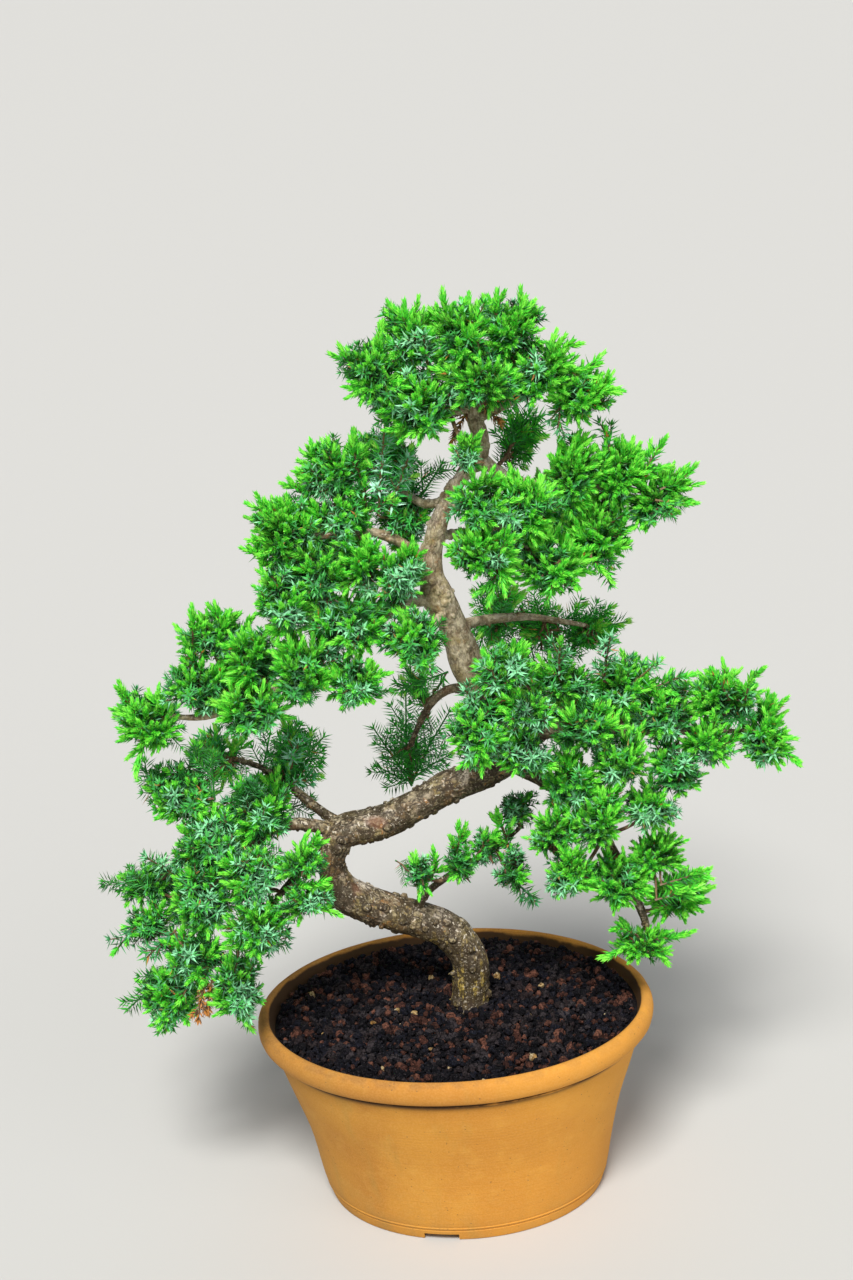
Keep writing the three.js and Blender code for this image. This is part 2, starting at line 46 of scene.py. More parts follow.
# ------------------------------------------------------------------ design tables, in mm
# The same centre lines as the CAD's, [x, y, z, radius].
TRUNK = [
    [7, 6.6, 85, 14.7],
    [8, 6.7, 100.3, 13.5],
    [8.9, 6.8, 114, 11.6],
    [10.3, 7.4, 126, 10.9],
    [10.7, 8, 141.4, 11.5],
    [6.8, 8.1, 155.1, 11.5],
    [-1.6, 7.9, 165.7, 11.5],
    [-13.7, 6.8, 172.8, 11.1],
    [-25.3, 5.3, 177.4, 10.8],
    [-36.9, 3.8, 183.4, 10.5],
    [-48.9, 1.2, 189.2, 10.8],
    [-58.3, -1.1, 196.1, 10.8],
    [-64.5, -2.6, 206.4, 9.2],
    [-65.9, -3.8, 216.9, 8],
    [-63.7, -3.6, 228.5, 8.9],
    [-59, -2.1, 236.1, 10.1],
    [-52.3, -0.6, 239, 10.6],
    [-44.1, 1.2, 239.7, 10.4],
    [-32.9, 4.1, 241.1, 10.1],
    [-20.8, 7.2, 245.7, 9.8],
    [-7, 11.4, 251.5, 9.5],
    [5.7, 15.6, 256.9, 9.8],
    [17, 18.6, 259.6, 9.5],
    [28.5, 21.6, 262.9, 9.5],
    [39.5, 23.5, 268.6, 9.5],
    [46, 24.1, 279, 9.2],
    [45.1, 23, 293, 9.1],
    [38.9, 20.5, 305.8, 9.4],
    [31, 17.8, 317.4, 9.6],
    [24.1, 15.2, 327.5, 9.6],
    [18.7, 11.7, 347.2, 9],
    [14.3, 8.3, 364.7, 8.1],
    [8.5, 5.8, 379.4, 9.2],
    [6.1, 4.5, 392.1, 7.1],
    [6.5, 3.6, 405, 6.2],
    [9.6, 3.9, 416.7, 6.2],
    [13.1, 4.2, 426.6, 5.1],
    [17.1, 5.5, 436, 4.2],
    [22.8, 7, 444.6, 4.2],
    [29.5, 7.6, 452.3, 4.5],
    [37.4, 8.3, 461, 5],
    [38.7, 7.4, 472.3, 5],
    [36.6, 6.2, 482.6, 4.7],
    [34.6, 3, 492.2, 3.9],
    [36.3, -1.8, 504.8, 3],
    [40, -4.5, 518.3, 2.2],
    [42.9, -5.3, 527.9, 1.4],
]
BRANCHES = {
    "branch_left_low": [
        [-60.6, -2.3, 238.2, 4.4],
        [-73.1, -3.4, 243.2, 4.1],
        [-92.1, -3, 244.5, 3.8],
        [-108.2, -4.4, 237.5, 3.3],
        [-121.5, -14.6, 222, 2.7],
        [-134.6, -20.8, 202.7, 2.1],
        [-143.7, -26.6, 182.9, 1.5],
    ],
    "branch_left_low_rear": [
        [-53.5, -0.7, 239.1, 3.8],
        [-70.4, 7.9, 247, 3],
        [-88.1, 16.4, 259.6, 2.4],
        [-105.2, 18.9, 272.4, 1.8],
        [-122.1, 16.4, 280.7, 1.2],
    ],
    "branch_left_low_front": [
        [-63.9, -3.6, 225.9, 3.3],
        [-75.1, -16.6, 226.1, 2.6],
        [-86.9, -27.7, 220.3, 2],
        [-101.9, -35, 201.8, 1.8],
        [-109.8, -36.7, 180.1, 1.2],
    ],
    "branch_left_mid": [
        [8.5, 5.8, 379.4, 4.6],
        [-9.9, -1.9, 379.4, 3.7],
        [-30.2, -9.7, 370, 3.4],
        [-53.6, -15.7, 358.2, 3.1],
        [-77.5, -19.8, 342.7, 2.9],
        [-104.9, -19.2, 329.6, 2.6],
        [-132.1, -17.6, 321.6, 2],
        [-153.2, -13.4, 321.5, 1.4],
    ],
    "branch_left_upper": [
        [6.3, 4.6, 395.1, 3.7],
        [-7.9, 4.3, 412.1, 3.1],
        [-26.6, -0.3, 422.4, 2.8],
        [-51.5, -6.5, 424, 2.3],
        [-69.9, -11.1, 422.4, 1.4],
    ],
    "branch_left_upper_rear": [
        [17.1, 5.5, 436, 3.1],
        [2.9, 13.3, 433.7, 2.6],
        [-10.5, 19.2, 442.8, 2],
        [-15.5, 22.7, 456.2, 1.1],
    ],
    "branch_centre_left": [
        [12.4, 7.1, 370.8, 2.9],
        [7.1, -11.4, 370.5, 2.3],
        [-2.1, -24.3, 366.1, 1.4],
    ],
    "branch_right_mid_rear": [
        [15.6, 9.4, 359.3, 3.5],
        [33, 29, 355.6, 2.9],
        [58.7, 45.3, 350.1, 2.1],
        [90.6, 54.1, 340.2, 1.2],
    ],
    "branch_right_upper": [
        [37.4, 8.3, 461, 3.6],
        [52.9, 5.6, 448.1, 3.4],
        [79, 3.9, 441.3, 2.8],
        [107, 5.3, 440.5, 2.2],
        [129.1, 6.3, 435.5, 1.4],
    ],
    "branch_right_upper_front": [
        [17.8, 5.6, 437.1, 3.1],
        [32.5, -11.2, 434.5, 2.5],
        [47.9, -19.9, 426, 1.9],
        [62.7, -19.6, 414.5, 1.1],
    ],
    "branch_rear_upper": [
        [9.6, 3.9, 416.7, 3.1],
        [26.7, 30.4, 409.5, 2.6],
        [50.1, 52.6, 405.3, 1.8],
        [70.3, 62.4, 404.1, 1.2],
    ],
    "branch_apex_left": [
        [35.1, 3.1, 490.4, 3.1],
        [19.3, -2.3, 491.1, 2.5],
        [4.1, -9.7, 504.8, 1.9],
        [-9.5, -13.9, 518, 1.1],
    ],
    "branch_apex_right": [
        [36.6, 6.2, 482.6, 3.1],
        [53.9, 4.7, 490.6, 2.5],
        [76.8, 0.7, 500.1, 1.9],
        [93.1, 0.1, 497, 1.1],
    ],
    "branch_centre_rear": [
        [31, 17.8, 317.4, 3.8],
        [7.9, 34.8, 310.5, 2.7],
        [-5.6, 43.7, 296, 2.1],
        [-18.5, 46.6, 271.3, 1.2],
    ],
    "branch_mid_front": [
        [45.8, 24.1, 284.2, 4.1],
        [46.4, 0, 302.4, 3.2],
        [45.6, -18.1, 318.6, 2],
    ],
    "branch_right_mid": [
        [45.2, 24, 275.9, 5.3],
        [67.4, 15.9, 289.1, 4.4],
        [96.8, 11.5, 291.4, 3.8],
        [125.8, 11, 289, 3.2],
        [154.9, 15.6, 285, 2.3],
        [182.9, 18, 282.6, 1.2],
    ],
    "branch_right_low": [
        [39.5, 23.5, 268.6, 5],
        [62.7, 13.5, 257.7, 4.1],
        [82.8, 3.2, 246.5, 3.5],
        [97.1, -2.6, 225.9, 3.2],
        [108.8, -2.5, 199.3, 3],
        [116.6, -3.9, 176.6, 2.4],
        [120.1, -4.6, 161.5, 1.5],
    ],
    "branch_rear_mid": [
        [41.6, 21.7, 302.6, 3.8],
        [56.4, 47.1, 292.8, 2.7],
        [84.4, 67.6, 279.2, 1.5],
    ],
    "branch_low_twig": [
        [-21.9, 6.1, 176.2, 3],
        [-11.3, 2, 193.8, 2.4],
        [6.8, -2.4, 209.1, 1.8],
        [28.1, 2.5, 218.9, 1.5],
        [48, 4.2, 234.1, 1.2],
    ],
}
# Foliage pads: how young, how blue and how shaded the growth is, then the tufts,
# [x, y, z, half-length, half-height, half-depth, tilt in degrees about Y].
PADS = {
    "foliage_apex_left": ((0.60, 0.45, 0.14), [
        [4.3, -4.6, 533.1, 20.1, 16.2, 19.1, -90],
        [-17, -21.6, 520.3, 20.1, 14.7, 18.3, -62.2],
        [7.5, -16.9, 498.1, 19.9, 18.3, 20.1, 36.4],
    ]),
    "foliage_apex_crown": ((0.66, 0.52, 0.05), [
        [30.9, -12.4, 535.5, 20.4, 15.2, 18.7, 79.1],
        [60.8, 0.3, 534.5, 18.9, 16.8, 18.7, -72.4],
        [45.2, -26.2, 511.3, 18.4, 16.5, 18.3, -24.5],
    ]),
    "foliage_apex_right": ((0.93, 0.32, 0.03), [
        [75.5, -8.5, 511.4, 19.4, 14.9, 18, 54.7],
        [97.7, -1.5, 494.8, 18.4, 15.2, 17.6, 33.5],
    ]),
    "foliage_apex_rear": ((0.44, 0.49, 0.55), [
        [63.1, 48.2, 464.6, 13.8, 9.8, 13, 75.5],
        [41.7, 46.3, 497.7, 23.9, 21.7, 23.9, -4.5],
        [25, 29.8, 517.4, 14.6, 12.4, 14.2, -4.5],
    ]),
    "foliage_right_upper_front": ((0.71, 0.57, 0.00), [
        [37.7, -34.3, 448.5, 15.9, 15.9, 16.7, -4.5],
        [63.2, -24.6, 440, 19.2, 17.9, 19.5, -58.3],
        [32.6, -29.8, 473.1, 8.2, 13.1, 13, -4.5],
    ]),
    "foliage_right_upper_low": ((0.79, 0.36, 0.01), [
        [38.7, -41.8, 419.9, 19.4, 17.3, 19.3, -15.2],
        [74.7, -23.6, 405.9, 20.9, 17.9, 20.4, 1.5],
    ]),
    "foliage_right_upper_outer": ((0.86, 0.35, 0.01), [
        [90, -2.2, 451.2, 21.1, 15.4, 19.2, 77.3],
        [116.5, 7.7, 447.6, 18.9, 15.6, 18.1, 74.5],
        [137.7, 7, 431.7, 20.8, 14.6, 18.6, 51.3],
        [103.6, -1, 414.1, 21.1, 19, 21.1, -72],
    ]),
    "foliage_right_mid_rear": ((0.32, 0.38, 0.51), [
        [35.9, 53.3, 351.1, 20.5, 17.1, 19.7, 72],
        [63.9, 60.8, 338.9, 19.3, 16.5, 18.8, -82.9],
        [96.7, 68.7, 332.6, 18.8, 17.1, 18.8, 51.1],
    ]),
    "foliage_left_upper_rear": ((0.31, 0.68, 0.33), [
        [-15, 28.8, 456.5, 19.4, 17.8, 19.5, 85.4],
        [-9.6, 24.3, 423.1, 20, 18.6, 20.2, -63.1],
    ]),
    "foliage_left_upper": ((0.64, 0.47, 0.10), [
        [-44.6, 1.1, 459.6, 21.5, 16.1, 19.7, 30.3],
        [-43.5, -3.8, 434.3, 20, 15.4, 18.6, 10.1],
        [-74.8, -14.1, 428.9, 21.8, 17.6, 20.7, 74.1],
    ]),
    "foliage_left_upper_low": ((0.48, 0.57, 0.13), [
        [-55.6, -22.4, 406.8, 17.8, 15, 17.2, -77.1],
        [-31.6, -12.8, 408.9, 17.7, 13.2, 16.2, 77.6],
        [-11.5, -16.1, 399.9, 19.8, 14.5, 18, 65.1],
    ]),
    "foliage_left_mid_upper": ((0.66, 0.53, 0.05), [
        [-75.5, -31.7, 391.9, 21.2, 14.7, 18.9, -64.8],
        [-40.1, -23.6, 376, 20.8, 17, 19.9, 9.2],
    ]),
    "foliage_centre_left": ((0.44, 0.66, 0.10), [
        [-2.5, -37.9, 370.4, 18.6, 17.7, 19.1, -28.4],
    ]),
    "foliage_left_mid_tip": ((0.89, 0.35, 0.04), [
        [-163.2, -14.3, 320.1, 20.7, 17.2, 19.9, -61],
    ]),
    "foliage_left_mid": ((0.70, 0.46, 0.10), [
        [-123.5, -5.8, 367.6, 18.8, 14.1, 17.3, 16.9],
        [-98.4, -21.2, 359.3, 18.1, 15.2, 17.5, 72.8],
        [-132, -19.1, 341.5, 18.8, 16.8, 18.7, -18.4],
        [-101.2, -33.9, 330.4, 19, 17.1, 19, 10.9],
        [-113.9, 17.6, 328.4, 22.3, 18.8, 21.6, -4.5],
    ]),
    "foliage_left_mid_front": ((0.64, 0.59, 0.08), [
        [-68.1, -43.6, 356.9, 22.1, 15.5, 19.7, 75.7],
        [-39.1, -36, 345.3, 18, 14.1, 16.9, 35.5],
    ]),
    "foliage_left_low_rear": ((0.28, 0.42, 0.43), [
        [-130.1, 18.7, 280.6, 22.1, 17.2, 20.6, -26.6],
        [-89.6, 29.8, 273.6, 22, 18.6, 21.3, 40.9],
    ]),
    "foliage_left_low_upper": ((0.38, 0.60, 0.17), [
        [-152, -3.3, 267.4, 22.1, 17.1, 20.6, -34.1],
        [-105.8, -6.7, 257.3, 20.5, 20.1, 21.3, 24.9],
    ]),
    "foliage_left_low": ((0.32, 0.85, 0.13), [
        [-136.7, -19.5, 244, 21.2, 16.5, 19.8, 37.4],
        [-109.6, -37.2, 229.6, 19, 17.1, 18.9, 80.1],
        [-142.3, -30, 210.2, 19.3, 16.7, 18.9, -86.8],
    ]),
    "foliage_left_low_front": ((0.64, 0.53, 0.05), [
        [-77.2, -44.4, 238.4, 15.4, 11.2, 14, 2.9],
        [-78.7, -47, 216, 17.6, 9.3, 14.1, 14],
    ]),
    "foliage_left_low_outer": ((0.29, 0.66, 0.22), [
        [-180.2, 9.3, 206.4, 20.9, 12.2, 17.4, 9.3],
        [-179.2, -8.2, 185.4, 16.9, 12.4, 15.4, 32],
    ]),
    "foliage_left_low_drop": ((0.34, 0.89, 0.04), [
        [-108.2, -49.6, 199.3, 18.3, 17.2, 18.7, -78.1],
        [-149.5, -38.2, 177.1, 18.5, 16.4, 18.3, -32.8],
        [-168.1, -32.3, 147.5, 19.6, 18.7, 20.1, -64],
        [-124.1, -43.5, 158.6, 22.5, 14.6, 19.5, -75.9],
    ]),
    "foliage_centre_rear": ((0.15, 0.33, 0.79), [
        [-6.7, 52.1, 298.1, 22.2, 18.2, 21.2, 20.2],
        [-23.8, 58.1, 262.6, 21.3, 18.8, 21.1, -48.9],
    ]),
    "foliage_right_mid_inner": ((0.48, 0.61, 0.12), [
        [45.5, -23.6, 343.6, 19.3, 16.2, 18.6, 49.3],
        [27.3, -35.3, 312.6, 20.1, 17.1, 19.5, 88.6],
        [59.2, -37.5, 323.8, 16.8, 13.3, 15.8, -22.6],
        [54.6, -27.8, 294.2, 16.2, 14.1, 15.9, -21.1],
    ]),
    "foliage_right_mid_top": ((0.53, 0.49, 0.16), [
        [78.3, -0.7, 327.2, 18.7, 13.3, 16.8, -37.3],
        [90.1, -17.2, 303.7, 18.3, 15.7, 17.8, 26.6],
        [111.8, 12.3, 317.3, 18.9, 18, 19.4, 43],
        [136.3, 11.9, 299.3, 18.4, 16.3, 18.2, 44.3],
    ]),
    "foliage_right_mid_outer": ((0.87, 0.36, 0.04), [
        [170.3, 22.4, 303.2, 20.5, 14.9, 18.6, -17.4],
        [192.8, 16.9, 279.8, 20.2, 15.7, 18.9, -64.2],
        [161.8, 9.1, 280.7, 17.2, 14, 16.3, -32.5],
    ]),
    "foliage_right_low_upper": ((0.51, 0.54, 0.20), [
        [109.5, -13, 280.7, 18.7, 15.1, 17.8, 55.3],
        [140.5, 4.8, 266.6, 18.2, 14.1, 17, -53],
        [124.3, -4.2, 246.9, 17.3, 14.7, 16.8, -22.2],
    ]),
    "foliage_right_low_inner": ((0.79, 0.46, 0.04), [
        [77.6, -10.8, 268.3, 17.4, 16.1, 17.6, 66.6],
        [94.4, -24.4, 248, 19, 14.1, 17.4, 63.2],
        [67.1, -19.2, 239.4, 16.9, 14, 16.2, 49],
    ]),
    "foliage_right_low_front": ((0.71, 0.45, 0.04), [
        [75.8, -28.5, 216.8, 16, 15, 16.3, 32.9],
        [103.9, -13.5, 204.2, 17.9, 15.3, 17.4, -33.6],
    ]),
    "foliage_right_low_outer": ((0.95, 0.31, 0.00), [
        [126.9, -1.4, 214.4, 16.1, 14.9, 16.3, 3.4],
        [138.7, 7.1, 183.7, 20, 14.2, 18, 20.1],
    ]),
    "foliage_right_low_tip": ((0.90, 0.39, 0.00), [
        [116.3, -8.6, 159.2, 18, 10.7, 15, -2.5],
    ]),
    "foliage_low_twig": ((0.31, 0.61, 0.30), [
        [44.9, 8.9, 241.4, 16.8, 11.3, 14.7, 65.6],
        [26.7, 2.3, 224.1, 12.2, 11.3, 12.3, -41.9],
        [41.4, -8.9, 210.4, 14.7, 11.1, 13.5, 67.3],
        [10.7, -6.6, 215.3, 11.5, 10.4, 11.5, 63.7],
        [-12.5, -11.1, 214.2, 8.5, 13.5, 11.6, -4.5],
    ]),
    "foliage_rear_upper": ((0.84, 0.40, 0.00), [
        [79.7, 67.2, 414.4, 23.5, 21.2, 23.5, -4.5],
        [51.5, 67.2, 388, 22.5, 20.2, 22.4, -4.5],
    ]),
    "foliage_rear_left": ((0.66, 0.49, 0.09), [
        [-56.3, 50.3, 399.4, 24.7, 21.2, 24.1, -4.5],
        [-76.7, 51, 372.1, 21.4, 19, 21.2, -4.5],
    ]),
    "foliage_rear_left_low": ((0.37, 0.84, 0.12), [
        [-135.7, 45.8, 210.4, 23.4, 20.9, 23.3, -4.5],
        [-153.8, 29.2, 181.8, 20.9, 19.6, 21.3, -4.5],
    ]),
    "foliage_rear_mid": ((0.58, 0.47, 0.16), [
        [63.1, 73.3, 280.6, 23.2, 19.5, 22.4, -4.5],
        [101.2, 74.1, 275.7, 24.4, 19.5, 23, -4.5],
    ]),
}
# Single shoots that reach out of the pads: [from x, y, z, to x, y, z, kind].
LEADERS = {
    "foliage_apex_left": [
        (-17, -16.5, 511.2, -35, -20.6, 533.5, "fingers"),
        (-9, -18.4, 519.1, -11.6, -21.1, 545.5, "fingers"),
        (5.6, -14.6, 520.6, 4.1, -17.2, 555.8, "fingers"),
        (14.8, -13.8, 512, 14.2, -23.9, 540.2, "bluetip"),
        (-3, -17.8, 505.1, -16.2, -26.5, 510.5, "bluetip"),
    ],
    "foliage_apex_crown": [
        (35, 0.6, 495.7, 16.1, -6.1, 490.6, "dead"),
        (35.8, 3.1, 492.7, 22.6, -3, 475.6, "dead"),
        (39.5, -1.6, 496, 51, -5.6, 482.8, "dead"),
        (25.7, -7.8, 531.2, 25.5, -10.3, 557.3, "fingers"),
        (51, -8.1, 533.1, 55.8, -7.7, 557.1, "fingers"),
        (59.6, -7.3, 531.3, 69.1, -9, 553.3, "fingers"),
        (42.5, -21.4, 529.1, 44, -18.7, 552.6, "mixed"),
    ],
    "foliage_apex_right": [
        (79.4, -3.1, 516.8, 93.1, -6.9, 527, "fingers"),
        (94.9, -4.2, 498.1, 115.8, -2.4, 498.7, "fingers"),
        (90.8, 0.4, 505, 106.6, -0.7, 513.5, "fingers"),
        (84.7, -2.6, 492.6, 84, -10.2, 478.8, "bluetip"),
    ],
    "foliage_right_upper_front": [
        (34, -27.1, 463.7, 35.6, -32, 483.2, "fingers"),
    ],
    "foliage_right_upper_low": [
        (47.9, -41, 415.5, 39.9, -44.2, 392.6, "fingers"),
        (36.2, -34.5, 425.6, 23.5, -40.6, 421.4, "fingers"),
        (80.6, -35.6, 412, 72.8, -38.8, 391.3, "mixed"),
    ],
    "foliage_right_upper_outer": [
        (126.7, 1, 445.4, 140.9, 4.8, 465.5, "fingers"),
        (137.4, -0.5, 438.3, 155.7, 6.1, 444.6, "fingers"),
        (134.4, -3.3, 433.5, 151.5, -1.8, 429.7, "fingers"),
        (110.8, 2.2, 462.2, 109.1, 2, 473.9, "mixed"),
        (96.9, -24.1, 409.6, 108.4, -28.2, 396.2, "mixed"),
    ],
    "foliage_right_mid_rear": [
        (78.3, 59.6, 334.4, 107, 64.6, 348.2, "ferntip"),
        (75, 61.8, 328.6, 114.5, 67.7, 341, "ferntip"),
        (70.8, 56.4, 337.2, 90.5, 63.1, 350.8, "ferntip"),
        (51.7, 59.7, 338.2, 44.5, 64.1, 358.6, "fern"),
        (62.7, 63.2, 322.3, 86.4, 70.3, 317.1, "fern"),
        (39.5, 56.2, 332.5, 37.1, 61, 353.8, "fern"),
        (37.7, 53.5, 359, 27, 57.6, 326.2, "fern"),
        (43.9, 56.5, 355, 43.2, 61.5, 317.5, "fern"),
        (52.5, 59.8, 352.1, 62, 65.7, 312.3, "ferntip"),
        (67.1, 61.1, 347.1, 79.9, 64.7, 309.2, "fern"),
        (34.8, 53.2, 351.6, 24.4, 54.8, 338.9, "ferntip"),
    ],
    "foliage_left_upper_rear": [
        (-21.2, -1.9, 432.1, -12.8, -6.1, 490, "bluetip"),
        (-15.7, 1.1, 432.1, 2, 0.2, 471.2, "bluetip"),
        (1.4, 20.2, 434.6, 15.1, 23.9, 453, "fern"),
        (-7.4, 21.9, 433.4, 6.5, 28.2, 448.6, "fern"),
    ],
    "foliage_left_upper": [
        (-26.6, -2.3, 434.9, -31.5, -7.8, 478.9, "mixed"),
        (-38.8, -3.4, 443, -46.4, -9.1, 478.9, "mixed"),
        (-54.4, -4.8, 438.4, -67.7, -10.9, 458.7, "fingers"),
        (-74, -11.5, 421, -88.4, -17.8, 452, "fingers"),
        (-67.6, -10.9, 423.4, -72.4, -16.4, 450.1, "fingers"),
        (-79.7, -17, 408.3, -92.5, -20.6, 423.2, "fingers"),
    ],
    "foliage_left_mid_tip": [
        (-167.2, -14.6, 315.2, -175.6, -20.4, 345.3, "fingers"),
        (-163.1, -14.3, 310.4, -172.7, -22.6, 296.8, "fingers"),
        (-153.6, -13.4, 312.8, -155.1, -18.6, 333.7, "fingers"),
    ],
    "foliage_left_mid": [
        (-134.1, -11.7, 354.6, -128.3, -13.7, 384.4, "fingers"),
        (-117, -7.7, 357.2, -115.4, -10.1, 386.1, "fingers"),
        (-108, -1.9, 349.6, -102.1, -1.4, 374.9, "fingers"),
    ],
    "foliage_left_low_rear": [
        (-101.1, 26.3, 262.4, -83.3, 30.4, 295.6, "ferntip"),
        (-93.4, 29.5, 258, -69.8, 31.5, 286.7, "ferntip"),
        (-105.6, 18.4, 268.1, -98.8, 21.5, 292.3, "fern"),
    ],
    "foliage_left_low_upper": [
        (-146.7, -7.8, 253.8, -165.1, -11.9, 264.3, "mixed"),
        (-156.3, -6.1, 266.4, -174.5, -5.2, 286.2, "ferntip"),
        (-136.5, -4.4, 269.9, -140.9, -4.8, 300.9, "ferntip"),
        (-130, -11.4, 266.3, -131.8, -6.5, 294.9, "fern"),
        (-100.4, 23.8, 241.1, -78.2, 25.8, 247.1, "fern"),
    ],
    "foliage_left_low": [
        (-104.4, -34.2, 214.6, -94.2, -40.9, 238.6, "star"),
        (-119.9, -23, 227.3, -120.7, -33.1, 252.8, "bluetip"),
    ],
    "foliage_left_low_front": [
        (-81.4, -42.3, 211.1, -61.9, -45.6, 209.3, "fingers"),
        (-84.5, -35, 236.7, -64.7, -43.3, 253.7, "fingers"),
        (-86, -42.7, 224.4, -64.2, -48.3, 226.8, "fingers"),
    ],
    "foliage_left_low_outer": [
        (-171.3, 0.1, 205.2, -202.8, -10.2, 216.3, "ferntip"),
        (-175.7, -10.4, 194.5, -202.7, -15.2, 174.1, "bluetip"),
        (-159.4, -6.4, 215.8, -173.6, -15.2, 232.5, "bluetip"),
    ],
    "foliage_left_low_drop": [
        (-140.5, -52.4, 166.7, -147.7, -58.1, 146.9, "dead"),
        (-136.6, -49.6, 168.3, -141.2, -55, 150.3, "dead"),
        (-164.2, -31.9, 169.2, -190, -31.7, 138.6, "fern"),
        (-150.2, -40.7, 164.1, -171.1, -45.1, 136.5, "bluetip"),
        (-129.6, -44, 162.3, -116.6, -47.8, 133.2, "mixed"),
        (-122.5, -38.3, 181.5, -90.1, -38, 185.8, "star"),
        (-156.5, -38.8, 196.3, -176, -40.5, 179.6, "bluetip"),
        (-112.1, -37.4, 203.5, -93.4, -40.8, 197.9, "star"),
    ],
    "foliage_centre_rear": [
        (-20.3, 55.9, 240.2, -40.5, 56.7, 279.3, "fern"),
        (-20.2, 56, 241.5, -25.3, 55.5, 301.3, "fern"),
        (-20.2, 56, 241.5, 1.2, 55.3, 290.9, "fern"),
        (-20.7, 55.9, 242.9, -42, 61.6, 250.8, "fern"),
        (-19.3, 56, 245.4, 3.9, 50.5, 265.3, "ferntip"),
        (8.4, 38.4, 320.5, -26.8, 52.9, 303.7, "ferntip"),
        (-19.5, 56, 250.8, -13.9, 64, 282.9, "fern"),
        (-5.6, 54.7, 288.9, -20.7, 58.4, 316.7, "fern"),
    ],
    "foliage_right_mid_inner": [
        (58.3, -7.4, 324.8, 49.9, -13.2, 353.2, "mixed"),
        (29.6, -32.5, 327.1, 22.7, -38.2, 338.8, "star"),
        (42.6, -33.9, 336.1, 37.2, -39.4, 354.2, "bluetip"),
    ],
    "foliage_right_mid_top": [
        (100.7, 1.3, 324.2, 104.5, -5.9, 356.2, "star"),
        (116.7, 7.7, 319.6, 133.3, 4.1, 335, "bluetip"),
        (125.7, 6, 316.1, 150.2, 5.6, 326.2, "mixed"),
        (75.9, -10.9, 331.5, 75.2, -18.5, 358.8, "bluetip"),
    ],
    "foliage_right_mid_outer": [
        (184.7, 8.6, 287.1, 206.4, 8, 278.7, "fingers"),
        (181.2, 8.3, 306.2, 185.5, 3.7, 325.2, "fingers"),
        (172.7, 10.1, 305.9, 162.9, 6.7, 326.3, "fingers"),
        (189.2, 9, 280.4, 210.8, 8.4, 267, "fingers"),
    ],
    "foliage_right_low_front": [
        (92.7, -24.5, 210.8, 70.1, -34, 221.6, "mixed"),
    ],
    "foliage_right_low_outer": [
        (124, -19.3, 193.9, 150.5, -19.5, 200.6, "fingers"),
        (127.3, -16.5, 202.1, 156.7, -16.4, 209.2, "fingers"),
    ],
    "foliage_right_low_tip": [
        (114.2, -7.6, 163.4, 93.5, -14.4, 154.5, "fingers"),
        (121.2, -7, 161.4, 141.3, -10.2, 164.9, "fingers"),
        (120.1, -7.1, 164.2, 127.7, -13.9, 151.5, "mixed"),
        (111.9, -7.8, 164.9, 102.8, -16.1, 176.2, "fingers"),
    ],
    "foliage_low_twig": [
        (-14.6, 1.2, 196.3, -15, -3.8, 218.6, "fingers"),
        (-7.3, -0.6, 204.9, -3.5, -5.3, 220.1, "fingers"),
        (4.9, 0.4, 209.1, 13.4, -6.4, 241.9, "fingers"),
        (16.2, -3.6, 214.5, 31.9, -7.2, 236.3, "mixed"),
        (40.2, -1.5, 221.5, 35.1, -7, 248.9, "fingers"),
        (36.6, -4.3, 210, 53.9, -7.8, 189.9, "star"),
    ],
}

# ---------------------------------------------------------------------------- small tools
def rng(tag):
    return np.random.default_rng(SEED + sum((i + 1) * ord(c) for i, c in enumerate(tag)))


def new_mesh(name, verts, faces, smooth=True, uv=None, material=None, attr=None):
    """faces: an (n, 3) or (n, 4) array, or a list of such arrays."""
    groups = faces if isinstance(faces, list) else [faces]
    groups = [np.asarray(g, np.int32) for g in groups if len(g)]
    total = np.concatenate([np.full(len(g), g.shape[1], np.int32) for g in groups])
    loops = np.concatenate([g.ravel() for g in groups])
    start = np.concatenate([[0], np.cumsum(total)[:-1]]).astype(np.int32)
    me = bpy.data.meshes.new(name)
    me.vertices.add(len(verts))
    me.vertices.foreach_set("co", np.asarray(verts, np.float32).ravel())
    me.loops.add(len(loops))
    me.loops.foreach_set("vertex_index", loops)
    me.polygons.add(len(total))
    me.polygons.foreach_set("loop_start", start)
    me.polygons.foreach_set("loop_total", total)
    me.polygons.foreach_set("use_smooth", np.full(len(total), smooth, bool))
    if uv is not None:
        layer = me.uv_layers.new(name="OFBake")
        layer.data.foreach_set("uv", np.asarray(uv, np.float32).ravel())
    me.update(calc_edges=True)
    if attr is not None:
        for key, values in attr.items():
            a = me.attributes.new(key, "FLOAT", "POINT")
            a.data.foreach_set("value", np.asarray(values, np.float32))
    if material is not None:
        me.materials.append(material)
    o = bpy.data.objects.new(name, me)
    bpy.context.scene.collection.objects.link(o)
    return o


def _hash(ix, iy, iz, seed):
    h = (ix.astype(np.uint32) * np.uint32(374761393) + iy.astype(np.uint32) * np.uint32(668265263)
         + iz.astype(np.uint32) * np.uint32(2147483647) + np.uint32(seed * 974711 % 4294967291))
    h = (h ^ (h >> np.uint32(13))) * np.uint32(1274126177)
    h = h ^ (h >> np.uint32(16))
    return (h & np.uint32(0xFFFFFF)).astype(np.float64) / float(0xFFFFFF)


